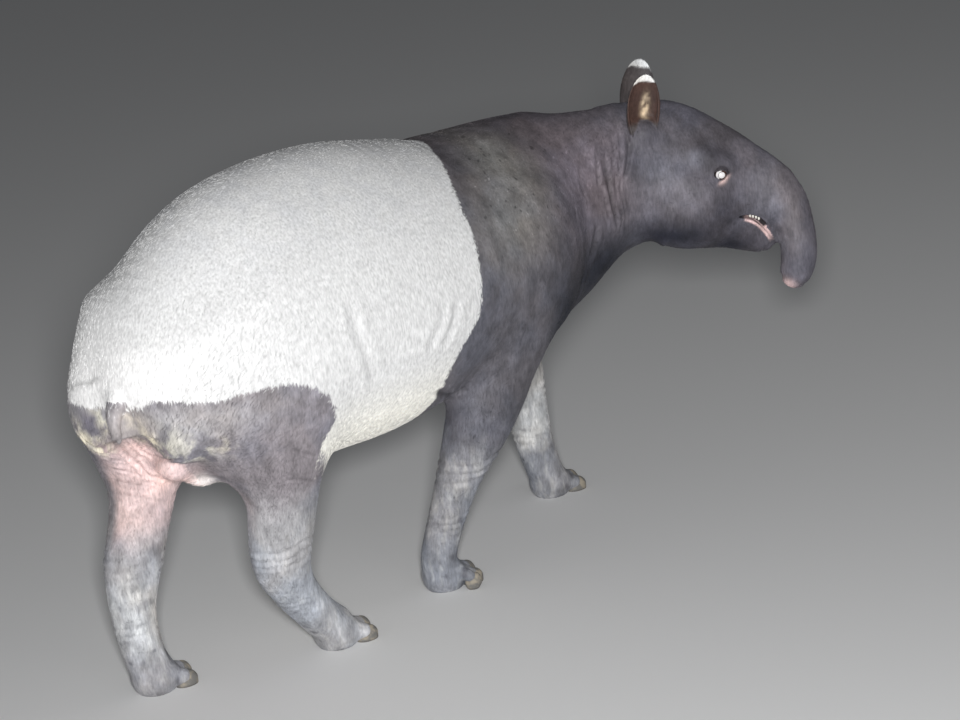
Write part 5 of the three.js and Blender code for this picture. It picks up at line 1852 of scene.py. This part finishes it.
def hoof_form(toe):
    """One nail as a tilted ball with fine growth rings, flat on the floor."""
    heading = toe["heading"]
    ahead = heading * math.cos(HOOF["tilt"]) - np.array([0, 0, math.sin(HOOF["tilt"])])
    across = np.cross([0, 0, 1], heading)
    up = np.cross(ahead, across)
    height = max(toe["tip"][2] - HOOF["drop"], HOOF["lowest"])
    centre = np.array([toe["tip"][0], toe["tip"][1], height]) + heading * HOOF["ahead"]
    radii = np.array(HOOF["radii"]) * toe["size"] - HOOF["inset"]
    points, faces = round_mesh(centre, radii, (ahead, across, up))
    rings = RINGS["depth"] * np.sin((points - centre) @ up / RINGS["step"])
    points = points + unit((points - centre) * RINGS["outward"]) * rings[:, None]
    points[:, 2] = np.maximum(points[:, 2], 0)
    return points, faces


def make_hooves():
    """The nails of all the toes in one piece."""
    p, faces = gathered([hoof_form(toe) for leg in LEGS.values() for toe in toes(leg)])
    piece = mesh_object("hooves", p, faces)
    dirt = smooth_step(noise(p, 11) + 0.5 * noise(p, 4), *DIRT_AND_DARK_BASE["amount"])
    tone = mixed(np.broadcast_to(HOOF_TONES["horn"], p.shape), HOOF_TONES["dirt"], dirt)
    # Darker towards the bottom, in the lowest few millimetres above the floor.
    tone = mixed(tone, HOOF_TONES["dark"], (1 - smooth_step(p[:, 2], *DIRT_AND_DARK_BASE["floor"])) * DIRT_AND_DARK_BASE["dark"])
    paint(piece.data, "tone", tone)
    material, tree, shader = material_of("horn", 0.6, 0.3)
    tree.links.new(attribute(tree, "tone", "Color"), shader.inputs["Base Color"])
    dressed(piece, material)
    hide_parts(*[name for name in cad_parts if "hoof" in name])
    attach(piece, "root")


# Upper teeth that the open corner of the mouth shows: places on the mouth's line, size and depth
TEETH = dict(places=(7, 9, 11, 13), radii=(3.0, 3.4, 4.6), inset=6.5, raised=0.32, tone=(0.86, 0.83, 0.76, 1))


def tooth_form(i, s):
    """One tooth inside the open mouth."""
    place = mouth_edge(i, s, mouth_line[i, 2] * TEETH["raised"]) - s * head_left * TEETH["inset"]
    return round_mesh(place, TEETH["radii"], head_axes, 12, 12)


def make_teeth():
    """The upper teeth of both sides in one piece."""
    forms = [tooth_form(i, s) for s in (1, -1) for i in TEETH["places"]]
    piece = mesh_object("teeth", *gathered(forms))
    material, _, shader = material_of("enamel", 0.25)
    shader.inputs["Base Color"].default_value = TEETH["tone"]
    dressed(piece, material)
    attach(piece, "root")


# Camera, floor and lights
SENSOR_WIDTH = 36
FLOOR_HALF = 40
WORLD = dict(colour=(0.9, 0.92, 0.95, 1), strength=0.09)
# Where the flash stands from the camera, and a weak fill and bounce: place, aim, size and power
FLASH = [0.05, 0, 0.12]
LIGHTS = dict(
    key=(None, (0, 0, 0.55), 0.5, 292),
    fill=((4.0, -3.5, 3.0), (0, 0, 0.5), 3.0, 9),
    bounce=((-1.6, -2.6, 0.25), (0, 0, 0.6), 2.4, 20),
)
camera_place = (np.array(CAMERA["place"]) + shift) * MM


def add_camera():
    """The camera that took the photograph."""
    data = bpy.data.cameras.new("camera")
    data.lens = CAMERA["lens"]
    data.sensor_width = SENSOR_WIDTH
    camera = bpy.data.objects.new("camera", data)
    bpy.context.scene.collection.objects.link(camera)
    right, up, ahead = camera_axes()
    turn = Matrix(np.array([right, up, -ahead]).T.tolist()).to_4x4()
    camera.matrix_world = Matrix.Translation(Vector(camera_place)) @ turn
    bpy.context.scene.camera = camera


def add_light(name, place, aim, size, power):
    """A square lamp, by the camera if it has no place of its own."""
    place = Vector(place or camera_place + FLASH)
    data = bpy.data.lights.new(name, "AREA")
    data.size = size
    data.energy = power
    light = bpy.data.objects.new(name, data)
    light.location = place
    light.rotation_euler = (Vector(aim) - place).to_track_quat("-Z", "Y").to_euler()
    bpy.context.scene.collection.objects.link(light)


def add_stage():
    """A plain floor and a dim, even sky."""
    mesh = bpy.data.meshes.new("floor")
    corners = [(x * FLOOR_HALF, y * FLOOR_HALF, 0) for x, y in ((-1, -1), (1, -1), (1, 1), (-1, 1))]
    mesh.from_pydata(corners, [], [(0, 1, 2, 3)])
    floor = bpy.data.objects.new("floor", mesh)
    bpy.context.scene.collection.objects.link(floor)
    world = bpy.data.worlds.new("studio")
    bpy.context.scene.world = world
    world.use_nodes = True
    sky = world.node_tree.nodes["Background"]
    sky.inputs["Color"].default_value = WORLD["colour"]
    sky.inputs["Strength"].default_value = WORLD["strength"]


skin = make_skin(list(fold_lines()))
flesh = [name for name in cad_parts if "hoof" not in name and "eye" not in name]
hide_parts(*flesh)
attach(skin, "root")
for s in (1, -1):
    make_eye(s)
make_hooves()
make_teeth()
make_coat(skin.data)
add_camera()
add_stage()
for name, row in LIGHTS.items():
    add_light(name, *row)
bpy.context.scene.view_settings.view_transform = "Standard"
